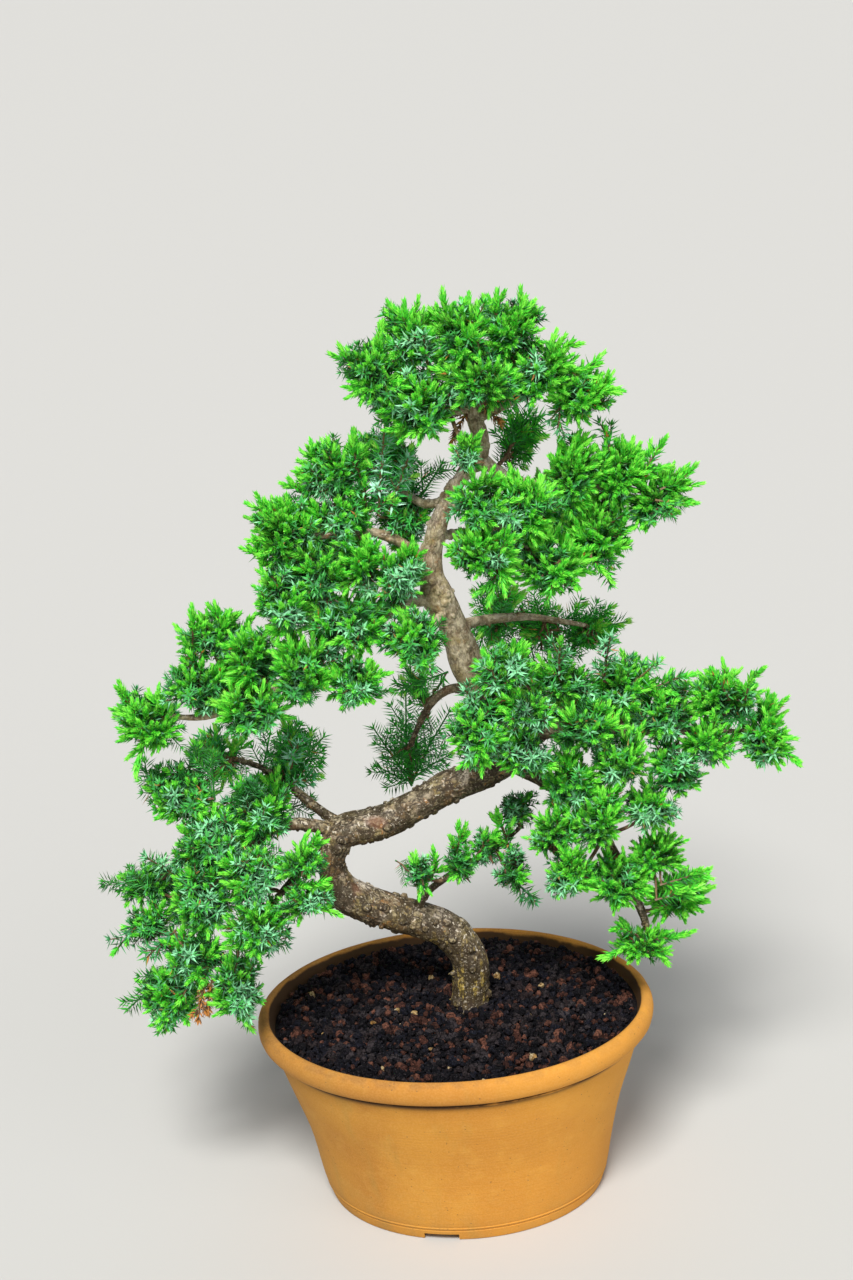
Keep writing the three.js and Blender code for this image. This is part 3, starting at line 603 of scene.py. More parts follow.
def noise(P, freq, seed=0):
    """Smooth value noise, 0 to 1, of points (n, 3)."""
    with np.errstate(over="ignore"):
        q = np.asarray(P, float) * freq
        i = np.floor(q).astype(np.int64)
        f = q - i
        f = f * f * f * (f * (f * 6 - 15) + 10)
        out = 0
        for dx in (0, 1):
            wx = f[:, 0] if dx else 1 - f[:, 0]
            for dy in (0, 1):
                wy = f[:, 1] if dy else 1 - f[:, 1]
                for dz in (0, 1):
                    wz = f[:, 2] if dz else 1 - f[:, 2]
                    out = out + wx * wy * wz * _hash(i[:, 0] + dx, i[:, 1] + dy, i[:, 2] + dz, seed)
    return out


def fbm(P, freq, octaves=3, seed=0, gain=0.5):
    out, amp, norm = 0, 1.0, 0
    for k in range(octaves):
        out = out + amp * noise(P, freq * 2.03 ** k, seed + 17 * k)
        norm += amp
        amp *= gain
    return out / norm


def spline(points, step):
    """A centripetal Catmull-Rom through [x, y, z, r] rows, at even steps: positions and radii."""
    P = np.asarray(points, float)
    X = np.vstack([2 * P[0] - P[1], P, 2 * P[-1] - P[-2]])
    dense = []
    for i in range(1, len(X) - 2):
        p0, p1, p2, p3 = X[i - 1], X[i], X[i + 1], X[i + 2]
        t0 = 0.0
        t1 = t0 + np.linalg.norm((p1 - p0)[:3]) ** 0.5 + 1e-9
        t2 = t1 + np.linalg.norm((p2 - p1)[:3]) ** 0.5 + 1e-9
        t3 = t2 + np.linalg.norm((p3 - p2)[:3]) ** 0.5 + 1e-9
        t = np.linspace(t1, t2, 24, endpoint=False)[:, None]
        a1 = (t1 - t) / (t1 - t0) * p0 + (t - t0) / (t1 - t0) * p1
        a2 = (t2 - t) / (t2 - t1) * p1 + (t - t1) / (t2 - t1) * p2
        a3 = (t3 - t) / (t3 - t2) * p2 + (t - t2) / (t3 - t2) * p3
        b1 = (t2 - t) / (t2 - t0) * a1 + (t - t0) / (t2 - t0) * a2
        b2 = (t3 - t) / (t3 - t1) * a2 + (t - t1) / (t3 - t1) * a3
        dense.append((t2 - t) / (t2 - t1) * b1 + (t - t1) / (t2 - t1) * b2)
    dense.append(P[-1:])
    D = np.vstack(dense)
    s = np.concatenate([[0], np.cumsum(np.linalg.norm(np.diff(D[:, :3], axis=0), axis=1))])
    n = max(3, int(round(s[-1] / step)))
    u = np.linspace(0, s[-1], n + 1)
    Q = np.stack([np.interp(u, s, D[:, k]) for k in range(4)], 1)
    return Q[:, :3], Q[:, 3], u


def frames(C):
    T = np.gradient(C, axis=0)
    T /= np.linalg.norm(T, axis=1)[:, None]
    N = np.zeros_like(T)
    ref = np.array([0, -1.0, 0]) if abs(T[0, 1]) < 0.9 else np.array([1.0, 0, 0])
    n = ref - T[0] * ref.dot(T[0])
    N[0] = n / np.linalg.norm(n)
    for i in range(1, len(C)):
        n = N[i - 1] - T[i] * N[i - 1].dot(T[i])
        N[i] = n / np.linalg.norm(n)
    return T, N, np.cross(T, N)


def tube_faces(rings, around, offset=0):
    i = np.arange(rings - 1)[:, None] * around
    j = np.arange(around)[None, :]
    k = (j + 1) % around
    a, b, c, d = i + j, i + k, i + around + k, i + around + j
    return (np.stack([a, b, c, d], -1).reshape(-1, 4) + offset).astype(np.int32)


# ------------------------------------------------------------------------------ materials
class Nodes:
    def __init__(self, name):
        self.m = bpy.data.materials.new(name)
        self.m.use_nodes = True
        self.t = self.m.node_tree
        self.t.nodes.clear()
        self.out = self.t.nodes.new("ShaderNodeOutputMaterial")
        self.bsdf = self.t.nodes.new("ShaderNodeBsdfPrincipled")
        self.t.links.new(self.bsdf.outputs[0], self.out.inputs[0])

    def link(self, a, b):
        self.t.links.new(a, b)

    def node(self, kind, **props):
        n = self.t.nodes.new("ShaderNode" + kind)
        for k, v in props.items():
            setattr(n, k, v)
        return n

    def put(self, value, socket):
        if isinstance(value, bpy.types.NodeSocket):
            self.link(value, socket)
        else:
            socket.default_value = value

    def math(self, op, a, b=0.0, c=None, clamp=False):
        n = self.node("Math", operation=op, use_clamp=clamp)
        self.put(a, n.inputs[0])
        self.put(b, n.inputs[1])
        if c is not None:
            self.put(c, n.inputs[2])
        return n.outputs[0]

    def mix(self, f, a, b, blend="MIX"):
        n = self.node("Mix", data_type="RGBA", blend_type=blend)
        self.put(f, n.inputs[0])
        self.put(tuple(a) + (1,) if isinstance(a, (tuple, list)) and len(a) == 3 else a, n.inputs[6])
        self.put(tuple(b) + (1,) if isinstance(b, (tuple, list)) and len(b) == 3 else b, n.inputs[7])
        return n.outputs[2]

    def ramp(self, f, stops, mode="LINEAR"):
        n = self.node("ValToRGB")
        n.color_ramp.interpolation = mode
        e = n.color_ramp.elements
        while len(e) > 1:
            e.remove(e[-1])
        for i, (p, c) in enumerate(stops):
            x = e[0] if i == 0 else e.new(p)
            x.position = p
            x.color = (tuple(c) + (1,)) if len(c) == 3 else c
        self.put(f, n.inputs[0])
        return n.outputs[0]

    def coords(self):
        return self.node("TexCoord").outputs["Object"]

    def noise(self, scale, detail=3.0, rough=0.55, vec=None, distort=0.0):
        n = self.node("TexNoise")
        self.link(vec if vec is not None else self.coords(), n.inputs["Vector"])
        n.inputs["Scale"].default_value = scale
        n.inputs["Detail"].default_value = detail
        n.inputs["Roughness"].default_value = rough
        n.inputs["Distortion"].default_value = distort
        return n.outputs["Fac"]

    def voronoi(self, scale, feature="F1", vec=None):
        n = self.node("TexVoronoi", feature=feature)
        self.link(vec if vec is not None else self.coords(), n.inputs["Vector"])
        n.inputs["Scale"].default_value = scale
        return n

    def mapping(self, scale, vec=None):
        n = self.node("Mapping")
        self.link(vec if vec is not None else self.coords(), n.inputs["Vector"])
        n.inputs["Scale"].default_value = scale
        return n.outputs[0]

    def attr(self, name):
        return self.node("Attribute", attribute_name=name).outputs["Fac"]

    def bump(self, height, strength=0.3, distance=0.001):
        n = self.node("Bump")
        n.inputs["Strength"].default_value = strength
        n.inputs["Distance"].default_value = distance
        self.link(height, n.inputs["Height"])
        self.link(n.outputs[0], self.bsdf.inputs["Normal"])

    def set(self, **kw):
        for k, v in kw.items():
            self.put(v, self.bsdf.inputs[k.replace("_", " ")])
        return self.m


def smoothstep(k, x, lo, hi):
    """A map-range node from lo..hi to 0..1, smooth."""
    n = k.node("MapRange", interpolation_type="SMOOTHSTEP")
    k.put(x, n.inputs[0])
    n.inputs[1].default_value = lo
    n.inputs[2].default_value = hi
    return n.outputs[0]


def terracotta_material():
    k = Nodes("terracotta")
    big = k.noise(14, 4, 0.6)
    mid = k.noise(60, 4, 0.6)
    fine = k.noise(900, 3, 0.6)
    streak = k.noise(1.0, 3, 0.6, k.mapping((55, 55, 9)))
    c = k.mix(smoothstep(k, big, 0.38, 0.62), (0.575, 0.262, 0.036), (0.49, 0.205, 0.028))
    c = k.mix(k.math("MULTIPLY", smoothstep(k, mid, 0.50, 0.72), 0.45), c, (0.64, 0.33, 0.060))
    c = k.mix(k.math("MULTIPLY", smoothstep(k, streak, 0.52, 0.74), 0.40), c, (0.36, 0.24, 0.055))
    z = k.node("SeparateXYZ")
    k.link(k.coords(), z.inputs[0])
    low = k.math("SUBTRACT", 1.0, smoothstep(k, z.outputs[2], 0.0, 0.045))
    c = k.mix(k.math("MULTIPLY", low, k.math("MULTIPLY", smoothstep(k, mid, 0.40, 0.65), 0.5)), c, (0.40, 0.20, 0.045))
    ring = smoothstep(k, z.outputs[2], 0.1030, 0.1100)
    c = k.mix(k.math("MULTIPLY", ring, 0.42), c, (0.42, 0.165, 0.034))
    top = k.math("MULTIPLY", smoothstep(k, z.outputs[2], 0.1165, 0.1200), smoothstep(k, k.noise(120, 3), 0.36, 0.60))
    c = k.mix(k.math("MULTIPLY", top, 0.55), c, (0.24, 0.105, 0.032))
    # painted light: the right side of the pot is painted brighter and more orange and the left side duller, as if lit
    # from the right
    warm = smoothstep(k, z.outputs[0], -0.06, 0.10)
    c = k.mix(k.math("MULTIPLY", warm, 0.42), c, (0.86, 0.385, 0.050))
    dull = smoothstep(k, z.outputs[0], 0.02, -0.12)
    c = k.mix(k.math("MULTIPLY", dull, 0.22), c, (0.33, 0.19, 0.045))
    speck = k.voronoi(420).outputs["Distance"]
    dots = k.math("SUBTRACT", 1.0, smoothstep(k, speck, 0.10, 0.22))
    sparse = smoothstep(k, k.noise(180, 2), 0.56, 0.64)
    c = k.mix(k.math("MULTIPLY", k.math("MULTIPLY", dots, sparse), 0.75), c, (0.10, 0.055, 0.03))
    c = k.mix(k.math("MULTIPLY", smoothstep(k, fine, 0.35, 0.7), 0.18), c, (0.78, 0.42, 0.14))
    # the inner wall between the rim and the soil is painted near-black: partly soil stain, partly painted shade in the
    # gap
    xy = k.mapping((1.0, 1.2055, 0.0))
    ln = k.node("VectorMath", operation="LENGTH")
    k.link(xy, ln.inputs[0])
    within = k.math("SUBTRACT", 1.0, smoothstep(k, k.math("ADD", ln.outputs["Value"], k.math("MULTIPLY", k.math("SUBTRACT", mid, 0.5), 0.0022)), 0.1128, 0.1137))
    high = smoothstep(k, z.outputs[2], 0.100, 0.104)
    c = k.mix(k.math("MULTIPLY", k.math("MULTIPLY", within, high), 0.93), c, (0.035, 0.020, 0.012))
    lines = k.noise(1.0, 2, 0.5, k.mapping((3, 3, 900)))
    h = k.math("ADD", k.math("MULTIPLY", lines, 0.7), k.math("MULTIPLY", fine, 0.6))
    h = k.math("ADD", h, k.math("MULTIPLY", mid, 0.8))
    k.bump(h, 0.35, 0.0006)
    return k.set(Base_Color=c, Roughness=k.math("MULTIPLY_ADD", fine, 0.15, 0.72), Specular_IOR_Level=0.22)


def bark_material(name, warm):
    """Bark: smooth pinkish-grey skin, browner below, olive-ochre warts with dark rings, paler
    towards the apex and streaked with gold ochre above the soil."""
    k = Nodes(name)
    relief, cap, ring, edge, top = k.attr("relief"), k.attr("cap"), k.attr("ring"), k.attr("edge"), k.attr("top")
    z = k.node("SeparateXYZ")
    k.link(k.coords(), z.inputs[0])
    z = z.outputs[2]
    high = smoothstep(k, z, 0.262, 0.345)
    low = k.math("SUBTRACT", 1.0, k.math("MULTIPLY", high, 0.50))
    big = k.noise(38, 4, 0.6)
    mid = k.noise(170, 4, 0.65)
    fine = k.noise(850, 3, 0.65)
    c = k.mix(smoothstep(k, mid, 0.40, 0.60), (0.062, 0.045, 0.020), (0.230, 0.176, 0.094))
    c = k.mix(k.math("MULTIPLY", smoothstep(k, k.noise(58, 3, 0.55), 0.50, 0.60), 0.60), c, (0.440, 0.350, 0.265))
    # painted light: the upper side is painted paler and the underside darker, as if lit from above
    c = k.mix(k.math("MULTIPLY", smoothstep(k, top, 0.58, 0.96), 0.60), c, (0.520, 0.430, 0.290))
    c = k.mix(k.math("MULTIPLY", smoothstep(k, top, 0.52, 0.14), 0.60), c, (0.075, 0.047, 0.020))
    skin = k.mix(smoothstep(k, mid, 0.38, 0.60), (0.360, 0.275, 0.155), (0.780, 0.660, 0.470))
    grain = k.noise(1.0, 3, 0.6, k.mapping((260, 260, 60)))
    skin = k.mix(k.math("MULTIPLY", smoothstep(k, grain, 0.50, 0.64), 0.55), skin, (0.230, 0.160, 0.090))
    skin = k.mix(k.math("MULTIPLY", smoothstep(k, k.noise(72, 3), 0.53, 0.63), 0.55), skin, (0.290, 0.175, 0.100))
    c = k.mix(k.math("MULTIPLY", high, 0.88), c, skin)
    brown = k.math("MULTIPLY", smoothstep(k, big, 0.43, 0.54), smoothstep(k, k.noise(105, 3), 0.38, 0.56))
    c = k.mix(k.math("MULTIPLY", k.math("MULTIPLY", brown, warm), low), c, (0.135, 0.066, 0.019))
    olive = smoothstep(k, k.noise(64, 3, 0.6), 0.53, 0.61)
    c = k.mix(k.math("MULTIPLY", olive, 0.60 * warm), c, (0.330, 0.255, 0.085))
    # painted highlight: pale patches on the upward-facing bark
    painted_highlight_patches = k.math("MULTIPLY", smoothstep(k, k.noise(47, 3, 0.6), 0.55, 0.62), smoothstep(k, top, 0.45, 0.80))
    c = k.mix(k.math("MULTIPLY", painted_highlight_patches, 0.70), c, (0.560, 0.480, 0.400))
    rust = k.math("MULTIPLY", k.math("MULTIPLY", smoothstep(k, k.noise(210, 3), 0.62, 0.67), 0.80), low)
    c = k.mix(rust, c, (0.480, 0.210, 0.045))
    foot = k.math("SUBTRACT", 1.0, smoothstep(k, z, 0.135, 0.190))
    c = k.mix(k.math("MULTIPLY", foot, 0.78), c, (0.075, 0.052, 0.020))
    streak = smoothstep(k, k.noise(1.0, 3, 0.6, k.mapping((230, 230, 42))), 0.50, 0.60)
    c = k.mix(k.math("MULTIPLY", foot, k.math("MULTIPLY", streak, 0.85)), c, (0.560, 0.400, 0.090))
    c = k.mix(k.math("MULTIPLY", foot, k.math("MULTIPLY", smoothstep(k, k.noise(330, 3), 0.52, 0.60), 0.8)), c, (0.030, 0.020, 0.011))
    c = k.mix(k.math("MULTIPLY", smoothstep(k, cap, 0.15, 0.95), 0.70), c, k.mix(smoothstep(k, k.noise(95, 2), 0.45, 0.58), (0.120, 0.092, 0.040), (0.500, 0.410, 0.255)))
    c = k.mix(k.math("MULTIPLY", k.math("MULTIPLY", smoothstep(k, ring, 0.10, 0.70), 0.92), low), c, (0.024, 0.016, 0.009))
    c = k.mix(k.math("MULTIPLY", k.math("MULTIPLY", edge, 0.80), low), c, (0.036, 0.023, 0.013))
    # painted shade: the bark's cracks and hollows, low in relief, are painted dark
    c = k.mix(k.math("MULTIPLY", k.math("MULTIPLY", k.math("SUBTRACT", 1.0, smoothstep(k, relief, 0.24, 0.46)), 0.85), low), c, (0.042, 0.027, 0.016))
    specks = k.math("MULTIPLY", k.math("MULTIPLY", smoothstep(k, k.noise(260, 2), 0.55, 0.62), 0.65), low)
    c = k.mix(specks, c, (0.055, 0.038, 0.020))
    c = k.mix(k.math("MULTIPLY", k.math("MULTIPLY", k.math("SUBTRACT", 1.0, smoothstep(k, fine, 0.34, 0.50)), 0.50), low), c, (0.065, 0.045, 0.026))
    patch = k.math("MULTIPLY", k.math("MULTIPLY", smoothstep(k, k.noise(115, 4, 0.6), 0.500, 0.555), 0.80), k.math("SUBTRACT", 1.0, high))
    c = k.mix(patch, c, (0.040, 0.027, 0.012))
    c = k.mix(k.math("MULTIPLY", smoothstep(k, fine, 0.57, 0.68), 0.40), c, (0.72, 0.61, 0.42))
    glint = k.math("MULTIPLY", k.math("MULTIPLY", smoothstep(k, k.noise(420, 3, 0.6), 0.60, 0.66), 0.75), smoothstep(k, top, 0.30, 0.70))
    c = k.mix(glint, c, (0.70, 0.62, 0.50))
    red = k.math("MULTIPLY", smoothstep(k, k.noise(30, 2), 0.63, 0.71), 0.45)
    c = k.mix(red, c, (0.215, 0.082, 0.042))
    h = k.math("ADD", k.math("MULTIPLY", mid, 0.6), k.math("MULTIPLY", fine, 0.8))
    k.bump(h, 0.50, 0.0008)
    return k.set(Base_Color=c, Roughness=0.60, Specular_IOR_Level=0.32)


def twig_material():
    k = Nodes("twiglet_bark")
    n1 = k.noise(260, 4, 0.6)
    c = k.mix(smoothstep(k, n1, 0.38, 0.62), (0.115, 0.062, 0.036), (0.26, 0.165, 0.092))
    c = k.mix(k.math("MULTIPLY", smoothstep(k, k.noise(60, 2), 0.55, 0.66), 0.5), c, (0.16, 0.17, 0.05))
    k.bump(k.noise(1400, 3), 0.5, 0.0004)
    return k.set(Base_Color=c, Roughness=0.85, Specular_IOR_Level=0.2)


def needle_material(name, gain):
    """Needles take their colour from the UV map alone: eight ages of growth across u, eight
    tones inside each, and inside each tone the keeled back and the waxy inner face; v runs
    along the needle."""
    k = Nodes(name)
    uv = k.node("UVMap", uv_map="OFBake")
    s = k.node("SeparateXYZ")
    k.link(uv.outputs[0], s.inputs[0])
    u, v = s.outputs[0], s.outputs[1]
    u8 = k.math("MULTIPLY", u, 8.0)
    age = k.math("MULTIPLY", k.math("ADD", k.math("FLOOR", u8), 0.5), 0.125)
    tone8 = k.math("MULTIPLY", k.math("FRACT", u8), 8.0)
    tone = k.math("MULTIPLY", k.math("FLOOR", tone8), 1 / 7.0)
    waxy = k.math("GREATER_THAN", k.math("FRACT", tone8), 0.5)
    back = [(0.150, 0.085, 0.045), (0.420, 0.170, 0.040), (0.014, 0.085, 0.012), (0.024, 0.155, 0.028),
            (0.050, 0.270, 0.092), (0.036, 0.325, 0.022), (0.078, 0.590, 0.032), (0.215, 0.820, 0.062)]
    face = [(0.210, 0.130, 0.075), (0.520, 0.250, 0.075), (0.034, 0.150, 0.042), (0.095, 0.350, 0.140),
            (0.255, 0.660, 0.350), (0.068, 0.430, 0.085), (0.115, 0.650, 0.066), (0.265, 0.850, 0.100)]
    stops = lambda table: [(i / 8, tuple(min(0.9, gain * x) for x in c)) for i, c in enumerate(table)]
    a = k.ramp(age, stops(back), "CONSTANT")
    b = k.ramp(age, stops(face), "CONSTANT")
    c = k.mix(waxy, a, b)
    # low tones are darkened; tone varies at random and is lowered for needles deep in a tuft as painted shade
    dark = k.mix(0.74, c, (0.0, 0.0, 0.0))
    warm = k.mix(0.30, c, (0.42, 0.44, 0.07))
    c = k.mix(smoothstep(k, tone, 0.45, -0.15), c, dark)
    c = k.mix(smoothstep(k, tone, 0.62, 1.15), c, warm)
    tip = smoothstep(k, v, 0.80, 1.0)
    c = k.mix(k.math("MULTIPLY", tip, 0.45), c, (0.42, 0.50, 0.16))
    base = k.math("SUBTRACT", 1.0, smoothstep(k, v, 0.0, 0.30))
    c = k.mix(k.math("MULTIPLY", base, 0.35), c, (0.20, 0.30, 0.10))
    return k.set(Base_Color=c, Roughness=0.46, Specular_IOR_Level=0.30)


def grain_material(name, colours, rough=0.9):
    k = Nodes(name)
    cell = k.voronoi(150).outputs["Color"]
    r = k.node("SeparateColor")
    k.link(cell, r.inputs[0])
    n = k.noise(700, 4, 0.65)
    c = k.ramp(r.outputs[0], [(i / max(1, len(colours) - 1), c) for i, c in enumerate(colours)])
    c = k.mix(k.math("SUBTRACT", 1.0, smoothstep(k, n, 0.34, 0.60)), c, tuple(0.35 * x for x in colours[0]))
    c = k.mix(k.math("MULTIPLY", smoothstep(k, k.noise(1500, 2), 0.58, 0.7), 0.35), c, tuple(min(1, 2.2 * x + 0.03) for x in colours[-1]))
    k.bump(k.noise(1800, 3, 0.7), 0.8, 0.0006)
    return k.set(Base_Color=c, Roughness=rough, Specular_IOR_Level=0.14)


def screen_material():
    k = Nodes("screen_plastic")
    n = k.noise(1200, 3)
    k.bump(n, 0.2, 0.0002)
    return k.set(Base_Color=k.mix(n, (0.012, 0.013, 0.012), (0.03, 0.03, 0.028)), Roughness=0.5)


# ------------------------------------------------------------------------------- the wood
def knob_field(s, th, R, S, length, count, size, rand, bias):
    """Round warts and small pits on a limb, in mm of relief, with masks for the wart's cap and
    for the dark ring round it; s and th are grid coordinates."""
    out, cap, ring = np.zeros_like(S), np.zeros_like(S), np.zeros_like(S)
    for _ in range(count):
        s0 = length * rand.uniform(0, 1) ** bias
        t0 = rand.uniform(0, 2 * math.pi)
        w = rand.uniform(*size)
        h = w * rand.uniform(0.35, 0.85)
        rows = np.flatnonzero(np.abs(s - s0) < 2.2 * w)
        if not len(rows):
            continue
        r = R[rows].mean()
        dt = (th - t0 + math.pi) % (2 * math.pi) - math.pi
        cols = np.flatnonzero(np.abs(dt) * r < 2.2 * w)
        if not len(cols):
            continue
        dd = np.sqrt(((s[rows][:, None] - s0) * rand.uniform(0.75, 1.1)) ** 2 + (dt[cols][None, :] * r) ** 2) / w
        bump = h * np.clip(1.15 - dd ** 2.4, 0, 1) ** 0.8
        if rand.random() < 0.45:
            bump -= h * 0.75 * np.exp(-(dd / 0.34) ** 2)
        else:
            bump += h * 0.22 * np.exp(-((dd - 0.55) / 0.2) ** 2)
        bump -= 0.20 * h * np.exp(-((dd - 1.25) / 0.28) ** 2)
        k = np.ix_(rows, cols)
        out[k] += bump
        tint = rand.uniform(0.2, 1.0)
        cap[k] = np.maximum(cap[k], tint * np.clip(1.25 - dd, 0, 1))
        dark = rand.uniform(0.35, 1.0)
        ring[k] = np.maximum(ring[k], dark * np.exp(-((dd - 1.12) / 0.26) ** 2))
        if rand.random() < 0.5:
            ring[k] = np.maximum(ring[k], dark * 0.9 * np.exp(-(dd / 0.30) ** 2))
    return out, cap, ring


def limb_mesh(name, points, around, step, rough, knobs, knob_size, material, bias=1.0):
    """A closed limb with bark relief."""
    rand = rng(name)
    C, R, s = spline(points, step)
    T, N, B = frames(C)
    th = np.arange(around) / around * 2 * math.pi
    S, TH = np.meshgrid(s, th, indexing="ij")
    dirs = np.cos(TH)[..., None] * N[:, None] + np.sin(TH)[..., None] * B[:, None]
    P = C[:, None] + dirs * R[:, None, None]
    flat = P.reshape(-1, 3)
    swell = (fbm(flat, 1 / 16.0, 2, 3) - 0.5) * 0.24 * R[:, None].repeat(around, 1).ravel()
    cyl = np.stack([np.cos(TH) * R[:, None], np.sin(TH) * R[:, None], S * 0.30], -1).reshape(-1, 3)
    strips = 1 - np.abs(2 * fbm(cyl, 1 / 2.6, 3, 11) - 1)
    plates = fbm(cyl * [1, 1, 1.4], 1 / 4.6, 3, 29)
    grit = fbm(flat, 1 / 1.05, 2, 41) - 0.5
    knob, cap, ring = (x.ravel() for x in knob_field(s, th, R, S, s[-1], knobs, knob_size, rand, bias))
    crack = np.clip((strips - 0.86) / 0.14, 0, 1)
    flake = np.clip((plates - 0.56) / 0.05, 0, 1)
    # the bark grows smooth towards the apex
    calm = 1 - 0.62 * np.clip((flat[:, 2] - 262) / 80, 0, 1)
    knob, cap, ring = knob * (0.4 + 0.6 * calm), cap, ring * calm
    relief = rough * calm * (1.3 * (plates - 0.5) + 0.65 * grit - 1.3 * crack + 0.75 * flake)
    d = swell + relief + knob
    limit = 0.16 * R[:, None].repeat(around, 1).ravel() + 0.9
    d = np.clip(d, -limit, limit + 0.5)
    V = (flat + dirs.reshape(-1, 3) * d[:, None])
    n = len(s)
    tips = np.stack([C[0] - T[0] * R[0] * 0.4, C[-1] + T[-1] * R[-1] * 0.7])
    verts = np.vstack([V, tips]) * MM
    quads = tube_faces(n, around)
    j = np.arange(around)
    k = (j + 1) % around
    cap0 = np.stack([k, j, np.full(around, n * around)], 1)
    o = (n - 1) * around
    cap1 = np.stack([o + j, o + k, np.full(around, n * around + 1)], 1)
    # painted shade: low values mark the cracks and hollows that the bark material paints dark
    shade = np.clip(0.5 + 0.5 * (plates - 0.5) + 0.2 * grit - 0.5 * crack + 0.12 * flake, 0, 1)
    shade = np.concatenate([shade, [0.4, 0.4]])
    cap = np.concatenate([cap, [0, 0]])
    ring = np.concatenate([ring, [0, 0]])
    edge = np.concatenate([flake * (1 - flake) * 4, [0, 0]])
    along = np.concatenate([(S / s[-1]).ravel(), [0, 1]])
    # how far the bark faces up, which the bark material uses for painted light from above
    top = np.concatenate([0.5 + 0.5 * dirs[..., 2].ravel(), [0.5, 0.5]])
    return new_mesh(name, verts, [quads, cap0, cap1], True, None, material, {"relief": shade, "along": along, "cap": cap, "ring": ring, "edge": edge, "top": top})


# ---------------------------------------------------------------------------- the foliage
# One needle: a base point, a triangular ring and a tip; 5 points and 6 triangles.
# Ring corners: left edge, right edge, keel. The face between the edges is the waxy one.
N_TRIS = np.array([[0, 2, 1], [0, 3, 2], [0, 1, 3], [1, 2, 4], [2, 3, 4], [3, 1, 4]])
N_WAXY = np.array([1, 0, 0, 1, 0, 0])
N_V = np.array([0.02, 0.36, 0.36, 0.36, 0.98])
N_SIDE = np.array([0.5, 0.12, 0.88, 0.5, 0.5])
NV, NT = len(N_V), len(N_TRIS)


def needles(base, along, face, length, width, bend):
    """Vertices (m, 5, 3) of m needles. along and face are unit vectors square to each other."""
    side = np.cross(along, face)
    L = length[:, None]
    w = width[:, None]
    V = np.empty((len(base), NV, 3))
    ring = base + along * (L * 0.36)
    V[:, 0] = base
    V[:, 1] = ring - side * w * 0.5 + face * w * 0.06
    V[:, 2] = ring + side * w * 0.5 + face * w * 0.06
    V[:, 3] = ring - face * w * 0.40
    V[:, 4] = base + along * L - face * (L * bend[:, None])
    return V


def shoot(rand, start, axis, length, young_len, habit, taper=1.0, plane=None):
    """Needles of one shoot, in whorls of three: old growth below, a plump bright finger of
    young needles over the last young_len mm. habit is "green", "blue" or "shade". Returns
    rows of base(3) along(3) face(3) length width bend age, and the stem's points."""
    side = np.cross(axis, rand.normal(size=3) if plane is None else plane)
    side /= np.linalg.norm(side)
    curve = rand.uniform(-0.02, 0.14) * length
    rows = []
    s = 0.0
    turn = rand.uniform(0, 2 * math.pi)
    long_needle = {"green": 8.0, "blue": 8.8, "shade": 8.8, "dead": 5.4}[habit]
    step_old = {"green": 2.15, "blue": 2.3, "shade": 1.75, "dead": 1.7}[habit]
    open_old = {"green": 57, "blue": 61, "shade": 54, "dead": 42}[habit]
    lime = rand.uniform(0.25, 0.95)
    while s < length:
        f = s / length
        left = length - s
        tangent = axis + side * (2 * curve / length * f)
        tangent /= np.linalg.norm(tangent)
        pos = start + axis * s + side * (curve * f * f)
        a = np.cross(tangent, side); a /= np.linalg.norm(a)
        b = np.cross(a, tangent)
        if left < young_len:
            y = 1 - left / young_len          # 0 at the finger's foot, 1 at its top
            spread = 41 - 24 * y ** 0.9
            ln = 6.8 - 2.2 * y
            wd = 1.70
            step = 1.34 - 0.22 * y
        else:
            y = 0.0
            spread = open_old - 16 * max(0.0, 1 - left / 4.0)
            ln = long_needle * (1 - 0.22 * max(0.0, 1 - left / 5.0))
            wd = 1.46 if habit != "shade" else 1.22
            step = step_old
        for m in range(3 if plane is None else 2):
            ang = turn + m * 2 * math.pi / 3 + rand.uniform(-0.22, 0.22)
            if plane is not None:
                ang = (m - 0.5) * math.pi + rand.uniform(-0.55, 0.55)
            out = a * math.cos(ang) + b * math.sin(ang)
            sp = math.radians(spread + rand.uniform(-8, 8))
            d = tangent * math.cos(sp) + out * math.sin(sp)
            fc = tangent * math.sin(sp) - out * math.cos(sp)
            r = rand.random()
            if left < young_len:
                age = (7 if r < 0.25 + 0.75 * lime * y else 6) if y > 0.22 else (6 if r < 0.55 else 5)
            elif habit == "green":
                age = 6 if r < 0.10 else 5 if r < 0.56 else 4 if r < 0.66 else 3 if r < 0.94 else 2
            elif habit == "blue":
                age = 5 if r < 0.22 else 4 if r < 0.74 else 3 if r < 0.95 else 2
            else:
                age = 5 if r < 0.46 else 3 if r < 0.84 else 2
            if habit == "dead":
                age = 1 if r < 0.45 else 0
            elif rand.random() < 0.010 and y < 0.4:
                age = 1
            bend = rand.uniform(0.0, 0.16) if y == 0 else rand.uniform(-0.10, 0.02)
            rows.append(np.concatenate([pos, d, fc, [ln * taper * rand.uniform(0.86, 1.08), wd * rand.uniform(0.92, 1.1), bend, age]]))
        turn += math.pi / 3 + rand.uniform(-0.1, 0.1)
        s += step
    end = start + axis * length + side * curve
    bright = young_len > 0
    for m in range(5 if bright else 4):
        ang = turn + m * 1.7
        out = a * math.cos(ang) + b * math.sin(ang)
        sp = math.radians(rand.uniform(3, 16) if bright else rand.uniform(18, 46))
        d = tangent * math.cos(sp) + out * math.sin(sp)
        fc = tangent * math.sin(sp) - out * math.cos(sp)
        age = 1 if habit == "dead" else 7 if bright else (4 if habit == "blue" else 5)
        rows.append(np.concatenate([end - tangent * 0.9, d, fc, [rand.uniform(2.9, 4.2) if bright else rand.uniform(3.8, 5.4), 1.4, 0.0, age]]))
    return rows, [start, start + axis * length * 0.5 + side * curve * 0.25, end]


